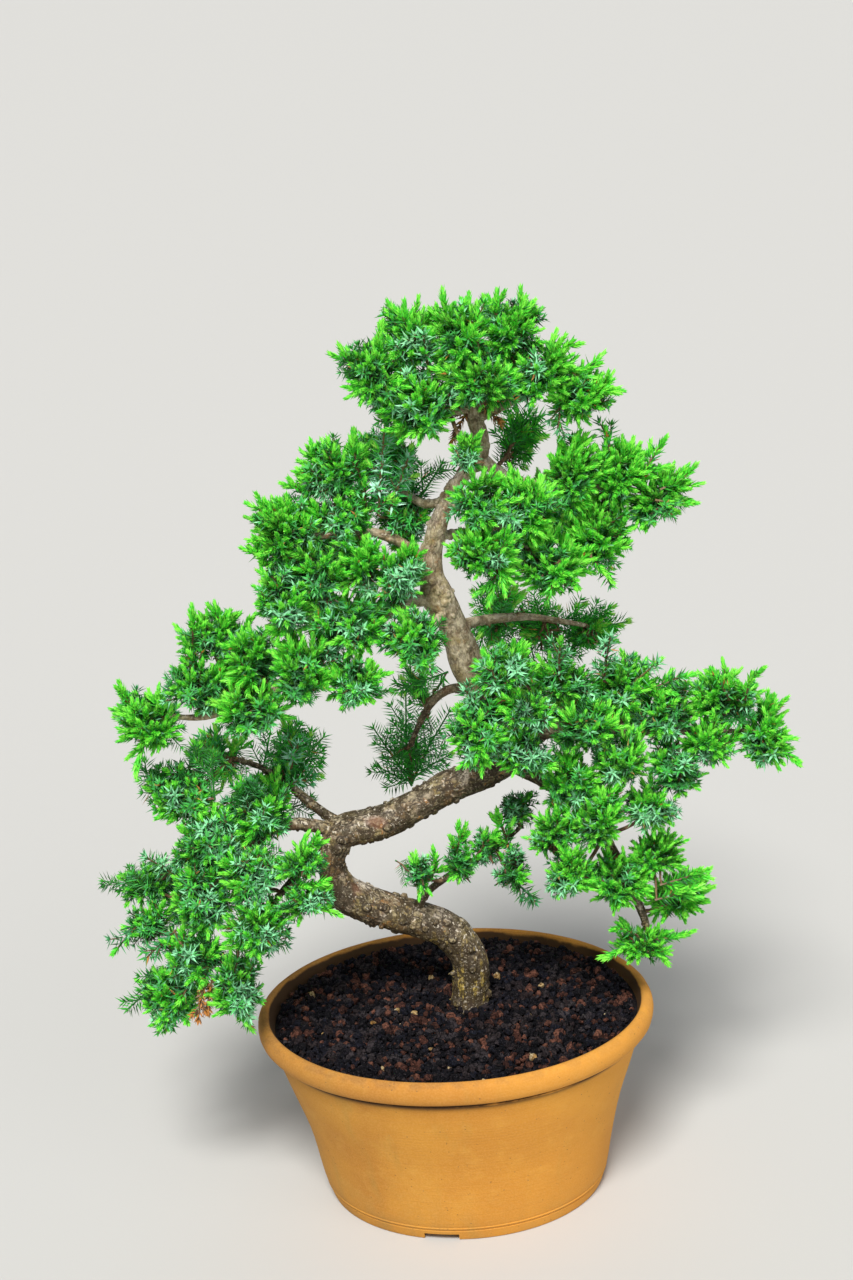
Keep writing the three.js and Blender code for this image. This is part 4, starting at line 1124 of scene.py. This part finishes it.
KINDS = {
    # main length, needled from, side shoots, their length, young length, share with young tips, habit
    "fingers": ((26, 32), 9.0, (4, 6), (12.0, 17.0), (11.5, 15.0), 1.00, "green"),
    "mixed": ((25, 32), 8.0, (5, 6), (9.5, 14.5), (7.5, 11.0), 0.60, "green"),
    "star": ((22, 28), 8.0, (4, 5), (8.0, 12.5), (0.0, 0.0), 0.00, "blue"),
    "bluetip": ((24, 30), 8.0, (4, 6), (8.5, 13.0), (5.0, 7.5), 0.45, "blue"),
    "fern": ((28, 38), 4.0, (5, 7), (10.0, 18.0), (0.0, 0.0), 0.00, "shade"),
    "ferntip": ((28, 36), 4.0, (5, 7), (10.0, 17.0), (4.0, 6.0), 0.35, "shade"),
    "dead": ((12, 16), 2.0, (3, 5), (5.0, 9.0), (0.0, 0.0), 0.00, "dead"),
}


def spray(tag, kind, span=None):
    """A leafy branchlet from the origin along +Z: a main shoot and alternating side shoots."""
    rand = rng(tag)
    lengths, bare, n_side, side_len, young, share, habit = KINDS[kind]
    rows, stems = [], []
    L = rand.uniform(*lengths) if span is None else span
    if span is not None:
        bare = 2.0
        n_side = (max(2, int(span / 8.0)), max(2, int(span / 6.5)))
        side_len = (side_len[0] * 0.85, side_len[1] * 0.85)
    z = np.array([0, 0, 1.0])
    tip = rand.uniform(*young) if share > 0 and rand.random() < share + 0.2 else 0.0
    flat = habit == "shade"
    plane = np.array([0, 1.0, 0]) if flat else None
    r, p = shoot(rand, z * bare, z, L - bare, tip, habit, 1.0, plane)
    rows += r
    stems.append(([np.zeros(3), z * bare * 0.5] + p, 0.8))
    n = rand.integers(n_side[0], n_side[1] + 1)
    turn = rand.uniform(0, 6.28)
    if flat:
        turn = rand.uniform(-0.2, 0.2)
    for i in range(n):
        turn = (math.pi * (i % 2) + rand.uniform(-0.2, 0.2)) if flat else turn + 2.4 + rand.uniform(-0.3, 0.3)
        f = i / max(1, n - 1)
        h = bare + (0.06 + 0.62 * f) * (L - bare)
        tilt = math.radians((rand.uniform(30, 44) if habit == "green" else rand.uniform(38, 52)) - 12 * f)
        d = z * math.cos(tilt) + (np.array([math.cos(turn), math.sin(turn), 0])) * math.sin(tilt)
        ln = rand.uniform(*side_len) * (1.12 - 0.30 * f)
        tip = rand.uniform(*young) * (1.0 - 0.1 * f) if rand.random() < share else 0.0
        r, p = shoot(rand, z * h, d, ln, min(tip, ln * 0.92), habit, 0.94, plane)
        rows += r
        stems.append((p, 0.5))
    return np.array(rows), stems, L


def stem_mesh(points, radius, sides=4, wander=None):
    P = np.asarray(points, float)
    if wander is not None:
        P = spline([[*p, 1.0] for p in P], 5.0)[0]
        ends = np.clip(np.minimum(np.arange(len(P)), np.arange(len(P))[::-1]), 0, 1)[:, None]
        P = P + wander.normal(0, 0.55, P.shape) * ends
    T = np.gradient(P, axis=0)
    T /= np.linalg.norm(T, axis=1)[:, None] + 1e-12
    ref = np.array([1.0, 0.13, 0.07])
    N = np.cross(T, ref); N /= np.linalg.norm(N, axis=1)[:, None] + 1e-12
    B = np.cross(T, N)
    th = np.arange(sides) / sides * 2 * math.pi
    r = np.linspace(radius, radius * 0.6, len(P))
    V = P[:, None] + (np.cos(th)[None, :, None] * N[:, None] + np.sin(th)[None, :, None] * B[:, None]) * r[:, None, None]
    V = np.vstack([V.reshape(-1, 3), P[:1], P[-1:]])
    F = []
    n = len(P)
    for i in range(n - 1):
        for j in range(sides):
            k = (j + 1) % sides
            a, b, c, d = i * sides + j, i * sides + k, (i + 1) * sides + k, (i + 1) * sides + j
            F += [[a, b, c], [a, c, d]]
    for j in range(sides):
        k = (j + 1) % sides
        F.append([k, j, n * sides])
        F.append([(n - 1) * sides + j, (n - 1) * sides + k, n * sides + 1])
    return V, np.array(F)


class Proto:
    """A spray as triangles, with each corner's age, face, side and place along the needle."""
    def __init__(self, tag, kind, span=None):
        rand = rng(tag + "_mesh")
        rows, stems, self.length = spray(tag, kind, span)
        V = needles(rows[:, 0:3], rows[:, 3:6], rows[:, 6:9], rows[:, 9], rows[:, 10], rows[:, 11]).reshape(-1, 3)
        m = len(rows)
        F = (N_TRIS[None] + NV * np.arange(m)[:, None, None]).reshape(-1, 3)
        age = np.repeat(rows[:, 12], NT)
        tone = np.repeat(rand.normal(0, 0.9, m), NT)
        waxy = np.tile(N_WAXY, m)
        v = np.tile(N_V[N_TRIS], (m, 1, 1)).reshape(-1, 3)
        side = np.tile(N_SIDE[N_TRIS], (m, 1, 1)).reshape(-1, 3)
        base = len(V)
        VS, FS = [V], [F]
        for pts, radius in stems:
            sv, sf = stem_mesh(pts, radius)
            VS.append(sv); FS.append(sf + base); base += len(sv)
            n = len(sf)
            age = np.concatenate([age, np.full(n, 3.0 if kind.startswith("fern") else 0.0)])
            tone = np.concatenate([tone, rand.normal(0, 0.9, n)])
            waxy = np.concatenate([waxy, np.zeros(n, int)])
            v = np.vstack([v, np.tile([0.2, 0.5, 0.8], (n, 1))])
            side = np.vstack([side, np.tile([0.2, 0.8, 0.5], (n, 1))])
        self.V, self.F = np.vstack(VS), np.vstack(FS)
        self.age, self.tone, self.waxy, self.v, self.side = age.astype(int), tone, waxy, v, side


def ellipsoid(t):
    c = np.array(t[:3], float)
    a = math.radians(t[6])
    R = np.array([[math.cos(a), 0, -math.sin(a)], [0, 1, 0], [math.sin(a), 0, math.cos(a)]])  # columns: length, depth, height axes
    return c, R, np.array([t[3], t[5], t[4]], float)


def inside(points, tufts, grow):
    """Lowest normalised distance of each point to any of the tufts."""
    best = np.full(len(points), 9.0)
    for c, R, r in tufts:
        q = (points - c) @ R / (r + grow)
        best = np.minimum(best, np.sqrt((q ** 2).sum(1)))
    return best


def sphere_dirs(n, phase):
    i = np.arange(n) + 0.5
    z = 1 - 2 * i / n
    t = math.pi * (1 + 5 ** 0.5) * i + phase
    r = np.sqrt(1 - z * z)
    return np.stack([r * np.cos(t), r * np.sin(t), z], 1)


def wood_distance(points, lines):
    best = np.full(len(points), 1e9)
    for C, R in lines:
        d = np.sqrt(((points[:, None] - C[None]) ** 2).sum(2)) - R[None]
        best = np.minimum(best, d.min(1))
    return best


def grow_pads(protos, materials):
    all_tufts = [(name, ellipsoid(t)) for name, (style, tufts) in PADS.items() for t in tufts]
    twig_pts = []
    trunk_axis, _, _ = spline(TRUNK, 5.0)
    branch_pts = np.vstack([spline(p, 3.0)[0] for p in BRANCHES.values()] + [trunk_axis])
    made = {}
    count = 0
    for name, ((young, blue, shade), tufts) in PADS.items():
        rand = rng(name)
        Vs, Fs, UVs = [], [], []
        base = 0
        for t in tufts:
            c, R, r = ellipsoid(t)
            others = [e for _, e in all_tufts if np.linalg.norm(e[0] - c) > 1e-6 and np.linalg.norm(e[0] - c) < 70]
            area = 4 * math.pi * (((r[0] * r[1]) ** 1.6 + (r[0] * r[2]) ** 1.6 + (r[1] * r[2]) ** 1.6) / 3) ** (1 / 1.6)
            n = max(5 if shade > 0.7 else 7, int(area / (SPRAY_AREA * (1 + 4.2 * max(0.0, shade - 0.25)))))
            dirs = sphere_dirs(n, rand.uniform(0, 6.28)) + rand.normal(0, 0.16, (n, 3))
            dirs /= np.linalg.norm(dirs, axis=1)[:, None]
            shell = c + (dirs * r) @ R.T
            reach = 0.66 + 0.56 * fbm(shell, 1 / 11.0, 2, 7)
            reach = np.clip(reach + rand.uniform(-0.12, 0.12, n), 0.62, 1.10)
            reach += 0.14 * (rand.random(n) < 0.10)
            # neighbouring tufts grow into one mass: the outline swells where they meet
            joint = np.exp(-np.maximum(inside(shell, others, 0.0) - 0.95, 0.0) / 0.30)[:, None]
            target = c + (dirs * (r - 2.6 * (1 - joint)) * (reach[:, None] + 0.16 * joint)) @ R.T
            buried = inside(target, others, 0.0)
            normal = (dirs / r) @ R.T
            normal /= np.linalg.norm(normal, axis=1)[:, None]
            # the nearest wood feeds the tuft through one twiglet
            d2 = ((branch_pts - c) ** 2).sum(1)
            root = branch_pts[d2.argmin()]
            open_fans = shade > 0.4
            hub = c - np.array([0, 0, 1.0]) * r[2] * 0.15
            if open_fans:
                hub = 0.60 * root + 0.40 * c
            outward = c - trunk_axis[((trunk_axis - c) ** 2).sum(1).argmin()]
            outward[2] *= 0.3
            outward /= np.linalg.norm(outward) + 1e-9
            mid = (root + hub) / 2 + np.array([0, 0, -1.0 if open_fans else -2.0])
            twig_pts.append(([root, mid, hub, hub + 0.6 * (c - hub) + normal.mean(0)], 1.4))
            for i in range(n):
                if buried[i] < 0.84:
                    continue
                if open_fans and rand.random() < (0.80 if shade > 0.7 else 0.40):
                    continue
                under = np.clip(-normal[i, 2], 0, 1)
                if under > 0.5 and rand.random() < 0.40:
                    continue
                d = normal[i] * 0.62 + np.array([0, 0, 1.0]) * (0.80 - 0.45 * under) + outward * 0.34 + rand.normal(0, 0.18, 3)
                d /= np.linalg.norm(d)
                spoke = target[i] - hub
                near = 1.0 - min(1.0, np.linalg.norm(spoke) / 34.0)
                pull = 0.66 if open_fans else 0.26 + 0.3 * near
                wish = d
                d = wish * (1 - pull) + spoke / np.linalg.norm(spoke) * pull
                d /= np.linalg.norm(d)
                p_young = np.clip(young * (0.45 + 0.8 * (normal[i, 2] * 0.5 + 0.5) + 0.25 * normal[i].dot(outward)), 0.02, 0.98)
                x = rand.random()
                if rand.random() < shade:
                    kind = "ferntip" if x < 0.25 + young else "fern"
                elif x < p_young:
                    kind = "fingers" if rand.random() < 0.30 + 0.7 * young else "mixed"
                elif x < p_young + (1 - p_young) * blue:
                    kind = "bluetip" if rand.random() < 0.4 else "star"
                else:
                    kind = "mixed" if rand.random() < 0.7 else "ferntip"
                pr = protos[kind][rand.integers(len(protos[kind]))]
                scale = rand.uniform(0.84, 1.06)
                # long sprays would start beyond the far side of a small tuft
                scale = min(scale * (1.2 if open_fans else 1.0), max(0.66, 1.15 * np.linalg.norm(target[i] - hub) / pr.length + 0.12))
                start = target[i] - d * pr.length * scale
                for more in (0.6, 0.8, 1.0):
                    if open_fans or np.linalg.norm(((start - c) @ R) / r) < 0.80:
                        break
                    pull = max(pull, more)
                    d = wish * (1 - pull) + spoke / np.linalg.norm(spoke) * pull
                    d /= np.linalg.norm(d)
                    start = target[i] - d * pr.length * scale
                roll = rand.normal(0, 0.35) if open_fans else rand.uniform(0, 2 * math.pi)
                ref = np.cross(d, [0.1, 1.0, 0.1] if open_fans else [0.3, 0.9, 0.2]); ref /= np.linalg.norm(ref)
                e2 = np.cross(d, ref)
                X = ref * math.cos(roll) + e2 * math.sin(roll)
                Y = np.cross(d, X)
                M = np.stack([X, Y, d], 1) * scale
                V = pr.V @ M.T + start
                Vs.append(V); Fs.append(pr.F + base); base += len(V)
                # needles deep in the tuft are older and dull, and their tone is also lowered as painted shade
                heart = V[(pr.F[:, 0] // NV) * NV]
                depth = np.linalg.norm(((heart - c) @ R) / r, axis=1)
                dull = 0.0 if open_fans else 4.6 * np.clip(0.98 - depth, 0, 0.75)
                tone = np.clip(np.round(3.7 + rand.normal(0, 1.0) + pr.tone - dull), 0, 7).astype(int)
                col = (pr.age * 8 + tone)[:, None] + 0.5 * pr.waxy[:, None] + 0.06 + 0.38 * pr.side
                uv = np.stack([col / 64.0, pr.v], -1)
                UVs.append(uv.reshape(-1, 2))
                count += 1
                twig_pts.append(([hub, (hub + start) / 2 + rand.normal(0, 1.0, 3), start + d * 1.0], 0.7))
        for j, (x0, y0, z0, x1, y1, z1, kind) in enumerate(LEADERS.get(name, ())):
            a, b = np.array([x0, y0, z0], float), np.array([x1, y1, z1], float)
            span = np.linalg.norm(b - a)
            d = (b - a) / span
            pr = Proto(f"{name}{j}", kind, span)
            ref = np.cross(d, [0.1, 1.0, 0.1]); ref /= np.linalg.norm(ref)
            M = np.stack([ref, np.cross(d, ref), d], 1)
            V = pr.V @ M.T + a
            Vs.append(V); Fs.append(pr.F + base); base += len(V)
            tone = np.clip(np.round(3.6 + rand.normal(0, 0.6) + pr.tone), 0, 7).astype(int)
            col = (pr.age * 8 + tone)[:, None] + 0.5 * pr.waxy[:, None] + 0.06 + 0.38 * pr.side
            UVs.append(np.stack([col / 64.0, pr.v], -1).reshape(-1, 2))
            hubs = np.array([e[0] for e in map(ellipsoid, tufts)])
            hub = hubs[((hubs - a) ** 2).sum(1).argmin()]
            twig_pts.append(([hub, (hub + a) / 2 + [0, 0, -1.0], a + d * 1.0], 1.0))
            count += 1
        V = np.vstack(Vs)
        made[name] = (V, np.vstack(Fs), np.vstack(UVs))
    return made, twig_pts, count


# ------------------------------------------------------------------------------- the pot
POT_PROFILE = [
    (0, 6), (30, 6.0), (60, 6.0), (70, 6.0), (73.2, 5.6), (74.9, 3.2), (76.0, 0.6), (77.2, 0.0), (80.2, 0.0), (83.2, 0.0),
    (84.3, 0.5), (84.8, 1.6), (85.3, 3.2), (85.9, 5.2), (86.3, 6.6), (86.0, 7.1), (86.2, 7.6), (87.0, 8.2), (87.3, 9.0), (87.0, 9.6),
    (87.3, 10.2), (88.0, 12.4), (88.8, 16), (89.9, 22), (91.6, 32), (93.5, 42), (95.8, 52), (98.6, 61.5), (101.8, 71), (105.4, 82),
    (108.2, 91), (110.7, 99), (111.7, 102.3), (112.4, 103.0), (112.6, 103.8), (112.1, 104.4), (112.4, 105.0), (113.4, 105.8), (115.6, 106.4), (117.6, 107.3),
    (118.9, 109.0), (119.7, 111.6), (120.0, 114.4), (119.7, 117.2), (118.6, 119.6), (116.9, 121.0), (115.2, 121.4), (113.6, 120.8), (112.6, 119.3), (112.0, 116.8),
    (110.4, 113), (106.4, 104), (98.6, 82), (93.3, 66), (89.0, 52), (84.6, 32), (81.9, 23), (79.6, 17.6), (76.6, 14.9), (72, 14.0),
    (60, 14.0), (30, 14.0), (0, 14.0)]


def oval_share(z):
    f, r = 71.8 / 84.4, 99.6 / 120.0
    return f + (r - f) * z / 121.4


def build_pot(material):
    P = np.array(POT_PROFILE, float)
    seg = 256
    # refine the long runs of the profile so that the wall can carry a slight wobble
    rows = [P[0]]
    for a, b in zip(P[:-1], P[1:]):
        n = max(1, int(np.linalg.norm(b - a) / 3.5))
        for i in range(1, n + 1):
            rows.append(a + (b - a) * i / n)
    P = np.array(rows)[1:-1]
    th = np.arange(seg) / seg * 2 * math.pi
    r, z = P[:, 0], P[:, 1]
    X = r[:, None] * np.cos(th)
    Y = r[:, None] * np.sin(th) * oval_share(z)[:, None]
    Z = np.broadcast_to(z[:, None], X.shape)
    V = np.stack([X, Y, Z], -1).reshape(-1, 3)
    wob = (fbm(V, 1 / 46.0, 2, 5) - 0.5) * 1.3 + (fbm(V * [1, 1, 3], 1 / 9.0, 2, 8) - 0.5) * 0.28
    wall = np.clip((V[:, 2] - 8) / 20, 0, 1) * np.clip((121.5 - V[:, 2]) / 1.2, 0.25, 1)
    out = V * [1, 1, 0]
    out /= np.linalg.norm(out, axis=1)[:, None] + 1e-9
    V = V + out * (wob * wall)[:, None]
    n = len(P)
    V = np.vstack([V, [[0, 0, 6.0], [0, 0, 14.0]]])
    quads = tube_faces(n, seg)
    j = np.arange(seg); k = (j + 1) % seg
    cap0 = np.stack([k, j, np.full(seg, n * seg)], 1)
    cap1 = np.stack([(n - 1) * seg + j, (n - 1) * seg + k, np.full(seg, n * seg + 1)], 1)
    pot = new_mesh("pot_vessel", V * MM, [quads, cap0, cap1], True, None, material)
    cutters = []
    for s in (-1, 1):
        bpy.ops.mesh.primitive_cylinder_add(vertices=48, radius=0.009, depth=0.03, location=(s * 0.038, 0, 0.009))
        cutters.append(bpy.context.object)
        bpy.ops.mesh.primitive_cube_add(size=1, location=(s * 0.012, s * 0.0718, 0))
        b = bpy.context.object
        b.scale = (0.021, 0.04, 0.009)
        cutters.append(b)
    for c in cutters:
        m = pot.modifiers.new("cut", "BOOLEAN")
        m.object, m.operation, m.solver = c, "DIFFERENCE", "EXACT"
    bpy.context.view_layer.update()
    dg = bpy.context.evaluated_depsgraph_get()
    me = bpy.data.meshes.new_from_object(pot.evaluated_get(dg))
    pot.modifiers.clear()
    pot.data = me
    for c in cutters:
        bpy.data.objects.remove(c, do_unlink=True)
    me.polygons.foreach_set("use_smooth", np.ones(len(me.polygons), bool))
    me.set_sharp_from_angle(angle=math.radians(38))
    return pot


def soil_height(x, y):
    e = np.sqrt((x / 111.4) ** 2 + (y / (111.4 * oval_share(117))) ** 2)
    return 118.0 - 2.0 * np.clip(e, 0, 1) ** 2.2 + 1.5 * y / 93.0 + 0.6 * x / 111.0


def build_soil(material):
    """The soil bed: a closed solid with a lumpy top under the loose granules."""
    rand = rng("soil")
    seg, rad = 144, 50
    th = np.arange(seg) / seg * 2 * math.pi
    share = oval_share(115)
    e = np.linspace(0.02, 1, rad)
    X = 110.6 * e[:, None] * np.cos(th); Y = 110.6 * share * e[:, None] * np.sin(th)
    Z = soil_height(X, Y) - 3.4
    top = np.stack([X, Y, Z], -1).reshape(-1, 3)
    top[:, 2] += (fbm(top, 1 / 4.0, 3, 77) - 0.5) * 3.6 * np.clip((1 - np.repeat(e, seg)) * 12, 0, 1)
    side_profile = [(105.8, 102.0), (98.0, 82.1), (88.4, 52.1), (84.0, 32.1), (79.9, 18.4), (72.6, 14.5)]
    rows = [top]
    for r, z in side_profile:
        rows.append(np.stack([r * np.cos(th), r * oval_share(z) * np.sin(th), np.full(seg, z)], -1))
    V = np.vstack(rows + [np.array([[0, 0, 114.4], [0, 0, 14.5]])])
    n = rad + len(side_profile)
    quads = tube_faces(n, seg)
    j = np.arange(seg); k = (j + 1) % seg
    cap0 = np.stack([k, j, np.full(seg, n * seg)], 1)
    cap1 = np.stack([(n - 1) * seg + j, (n - 1) * seg + k, np.full(seg, n * seg + 1)], 1)
    V = V * MM
    # the rings run from the middle outwards, so every face is turned to look out
    return new_mesh("soil_body", V, [quads[:, ::-1].copy(), cap0[:, ::-1].copy(), cap1[:, ::-1].copy()], True, None, material)


def ico(level):
    import bmesh
    bm = bmesh.new()
    bmesh.ops.create_icosphere(bm, subdivisions=level, radius=1.0)
    v = np.array([x.co[:] for x in bm.verts])
    bm.faces.ensure_lookup_table()
    f = np.array([[w.index for w in x.verts] for x in bm.faces])
    bm.free()
    return v, f


def build_granules(materials):
    rand = rng("granules")
    stones = (ico(1), ico(2))
    share = oval_share(116)
    pts = []
    for layer in range(2):
        pitch = 3.7 if layer else 4.2
        xs = np.arange(-113, 114, pitch)
        for iy, y in enumerate(np.arange(-95, 96, pitch * 0.866)):
            for x in xs:
                px = x + (iy % 2) * pitch / 2 + rand.uniform(-1.3, 1.3)
                py = y + rand.uniform(-1.3, 1.3)
                e = math.hypot(px / 109.6, py / (109.6 * share))
                if e > 0.985 or math.hypot(px - TRUNK_AT_SOIL[0], py - TRUNK_AT_SOIL[1]) < 9.5:
                    continue
                size = np.clip(rand.lognormal(0.62, 0.24), 1.15, 3.5) if layer else rand.uniform(1.6, 2.4)
                lift = -2.6 if layer == 0 else -1.3 + 0.22 * size
                pts.append((px, py, soil_height(px, py) + lift + rand.uniform(-0.8, 0.8), size, layer))
    pts = np.array(pts)
    names = ["granules_dark", "granules_dark_left", "granules_dark_under", "granules_red", "granules_tan"]
    groups = {n: [] for n in names}
    patch = fbm(np.column_stack([pts[:, :2], np.zeros(len(pts))]), 1 / 20.0, 2, 91)
    for i, p in enumerate(pts):
        x = rand.random()
        red = 0.10 + 0.55 * np.clip(patch[i] - 0.45, 0, 1)
        g = "granules_tan" if x < 0.006 else "granules_red" if x < 0.006 + red else "granules_dark"
        if g == "granules_dark" and p[4] == 0:
            g = "granules_dark_under"
        elif g == "granules_dark" and p[0] < 0:
            g = "granules_dark_left"
        groups[g].append((p[:3], p[3] * (1.15 if g in ("granules_red", "granules_tan") and p[4] else 1.0), int(p[4])))
    out = []
    for name, items in groups.items():
        Vs, Fs, base = [], [], 0
        for p, r, layer in items:
            bv, bf = stones[layer]
            v = bv * (1 + rand.uniform(-0.22, 0.20, (len(bv), 1)))
            # chop with a few flat faces, as crushed lava has
            for _ in range(5):
                nrm = rand.normal(size=3); nrm /= np.linalg.norm(nrm)
                cut = rand.uniform(0.50, 0.85)
                over = np.clip(v @ nrm - cut, 0, None)
                v = v - over[:, None] * nrm * 0.92
            sc = r * rand.uniform(0.72, 1.22, 3)
            M = np.linalg.qr(rand.normal(size=(3, 3)))[0] * sc[:, None]
            if np.linalg.det(M) < 0:
                M[0] *= -1
            w = v @ M + p
            w[:, 2] = np.minimum(w[:, 2], 121.6)
            Vs.append(w); Fs.append(bf + base); base += len(bv)
        out.append(new_mesh(name, np.vstack(Vs) * MM, np.vstack(Fs), False, None, materials[name]))
    return out


# --------------------------------------------------------------------------- put together
SPRAY_AREA = 150.0
TRUNK_AT_SOIL = (9.3, 7.0)

M_POT = terracotta_material()
M_BARK = bark_material("bark", 0.75)
M_BRANCH = bark_material("twig_bark", 0.45)
M_TWIG = twig_material()
M_SCREEN = screen_material()
M_SOIL = grain_material("soil", [(0.006, 0.005, 0.007), (0.020, 0.015, 0.018)])
DARKS = [(0.002, 0.002, 0.004), (0.005, 0.004, 0.006), (0.008, 0.009, 0.017), (0.022, 0.014, 0.014), (0.044, 0.036, 0.040)]
M_GRAIN = {
    "granules_dark": grain_material("soil_dark", DARKS),
    "granules_dark_left": grain_material("soil_dark_left", DARKS),
    "granules_dark_under": grain_material("soil_dark_under", DARKS[:3]),
    "granules_red": grain_material("soil_red", [(0.026, 0.011, 0.009), (0.070, 0.026, 0.018), (0.170, 0.068, 0.044)]),
    "granules_tan": grain_material("soil_tan", [(0.30, 0.15, 0.04), (0.46, 0.31, 0.13), (0.60, 0.50, 0.34)]),
}
# one needle palette at three gains; the copy for pads that sit in shade is brightened to 1.9 as painted light
M_NEEDLE = {"needles_bright": needle_material("needles_bright", 1.12),
            "needles_blue_green": needle_material("needles_blue_green", 1.12),
            "needles_shaded": needle_material("needles_shaded", 1.9)}
SLOTS = {p["node"]: p["material_slot"] for p in frame["record"]["subparts"]}

pot = build_pot(M_POT)
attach(pot, "root"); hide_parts("pot")

soil = build_soil(M_SOIL)
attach(soil, "root"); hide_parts("soil_bed")
for o in build_granules(M_GRAIN):
    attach(o, "root")

for side in ("left", "right"):
    node = frame["nodes"]["drain_screen_" + side]
    for s in node.material_slots:
        s.material = M_SCREEN

trunk = limb_mesh("trunk_wood", TRUNK, 108, 0.62, 0.32, 330, (0.9, 2.5), M_BARK, 1.25)
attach(trunk, "root"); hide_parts("trunk")
for name, pts in BRANCHES.items():
    o = limb_mesh(name.replace("branch_", "limb_"), pts, 30, 0.8, 0.20, int(len(pts) * 6), (0.6, 1.5), M_BRANCH)
    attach(o, "root"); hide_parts(name)

PROTOS = {kind: [Proto(f"{kind}{i}", kind) for i in range(9 if kind in ("fingers", "mixed") else 6)] for kind in KINDS}
grown, twig_lines, n_sprays = grow_pads(PROTOS, M_NEEDLE)
faces = 0
for name, (V, F, UV) in grown.items():
    slot = SLOTS[name]
    o = new_mesh(name.replace("foliage_", "needles_"), V * MM, F, False, UV, M_NEEDLE[slot])
    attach(o, "root"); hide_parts(name)
    faces += len(F)
    if len(F) > 195000:
        print("LARGE PIECE", name, len(F))
print("sprays", n_sprays, "needle faces", faces)

TV, TF, base = [], [], 0
twig_rand = rng("twiglets")
for pts, radius in twig_lines:
    v, f = stem_mesh(pts, radius, 5, twig_rand)
    TV.append(v); TF.append(f + base); base += len(v)
twigs = new_mesh("twiglets", np.vstack(TV) * MM, np.vstack(TF), True, None, M_TWIG)
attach(twigs, "root")

# ------------------------------------------------------------------- floor, light, camera
k = Nodes("studio_floor")
floor = new_mesh("floor", np.array([[-30, -30, 0], [30, -30, 0], [30, 30, 0], [-30, 30, 0]], float), np.array([[0, 1, 2, 3]]), False, None,
                 k.set(Base_Color=(0.54, 0.535, 0.52, 1), Roughness=0.9))

world = bpy.data.worlds.new("studio")
bpy.context.scene.world = world
world.use_nodes = True
world.node_tree.nodes["Background"].inputs[0].default_value = (0.92, 0.96, 1.0, 1)
world.node_tree.nodes["Background"].inputs[1].default_value = 0.25


def sun(name, direction, angle, power, color=(1, 1, 1)):
    l = bpy.data.lights.new(name, "SUN")
    l.angle, l.energy, l.color = math.radians(angle), power, color
    o = bpy.data.objects.new(name, l)
    o.location = Vector(direction) * -2.0
    o.rotation_mode = "QUATERNION"
    o.rotation_quaternion = Vector(direction).to_track_quat("-Z", "Y")
    bpy.context.scene.collection.objects.link(o)


sun("key", (0.06, 0.66, -0.90), 20, 4.00, (1.0, 0.985, 0.95))
sun("fill", (-0.62, 0.66, -0.42), 50, 0.65, (0.97, 0.98, 1.0))
sun("back", (-0.1, -0.9, -0.7), 60, 0.28, (1.0, 1.0, 1.0))

cam_data = bpy.data.cameras.new("camera")
cam_data.lens = 2500.0 / 1280.0 * 36.0
cam_data.sensor_width = 36.0
cam_data.clip_start, cam_data.clip_end = 0.05, 100.0
cam = bpy.data.objects.new("camera", cam_data)
bpy.context.scene.collection.objects.link(cam)
bpy.context.scene.camera = cam
ROLL = math.radians(4.49)
right = Vector((0.99619470, 0.08715574, 0.0))
up = Vector((-0.03023743, 0.34561546, 0.93788893))
ahead = Vector((-0.08174241, 0.93431998, -0.34693565))
r2 = right * math.cos(ROLL) - up * math.sin(ROLL)
u2 = right * math.sin(ROLL) + up * math.cos(ROLL)
m = Matrix.Identity(4)
for i in range(3):
    m[i][0], m[i][1], m[i][2] = r2[i], u2[i], -ahead[i]
m.translation = Vector((0.11776584, -1.34035604, 0.85333242))
cam.matrix_world = m

bpy.context.scene.view_settings.view_transform = "Standard"
bpy.context.scene.view_settings.look = "None"

bpy.context.view_layer.update()
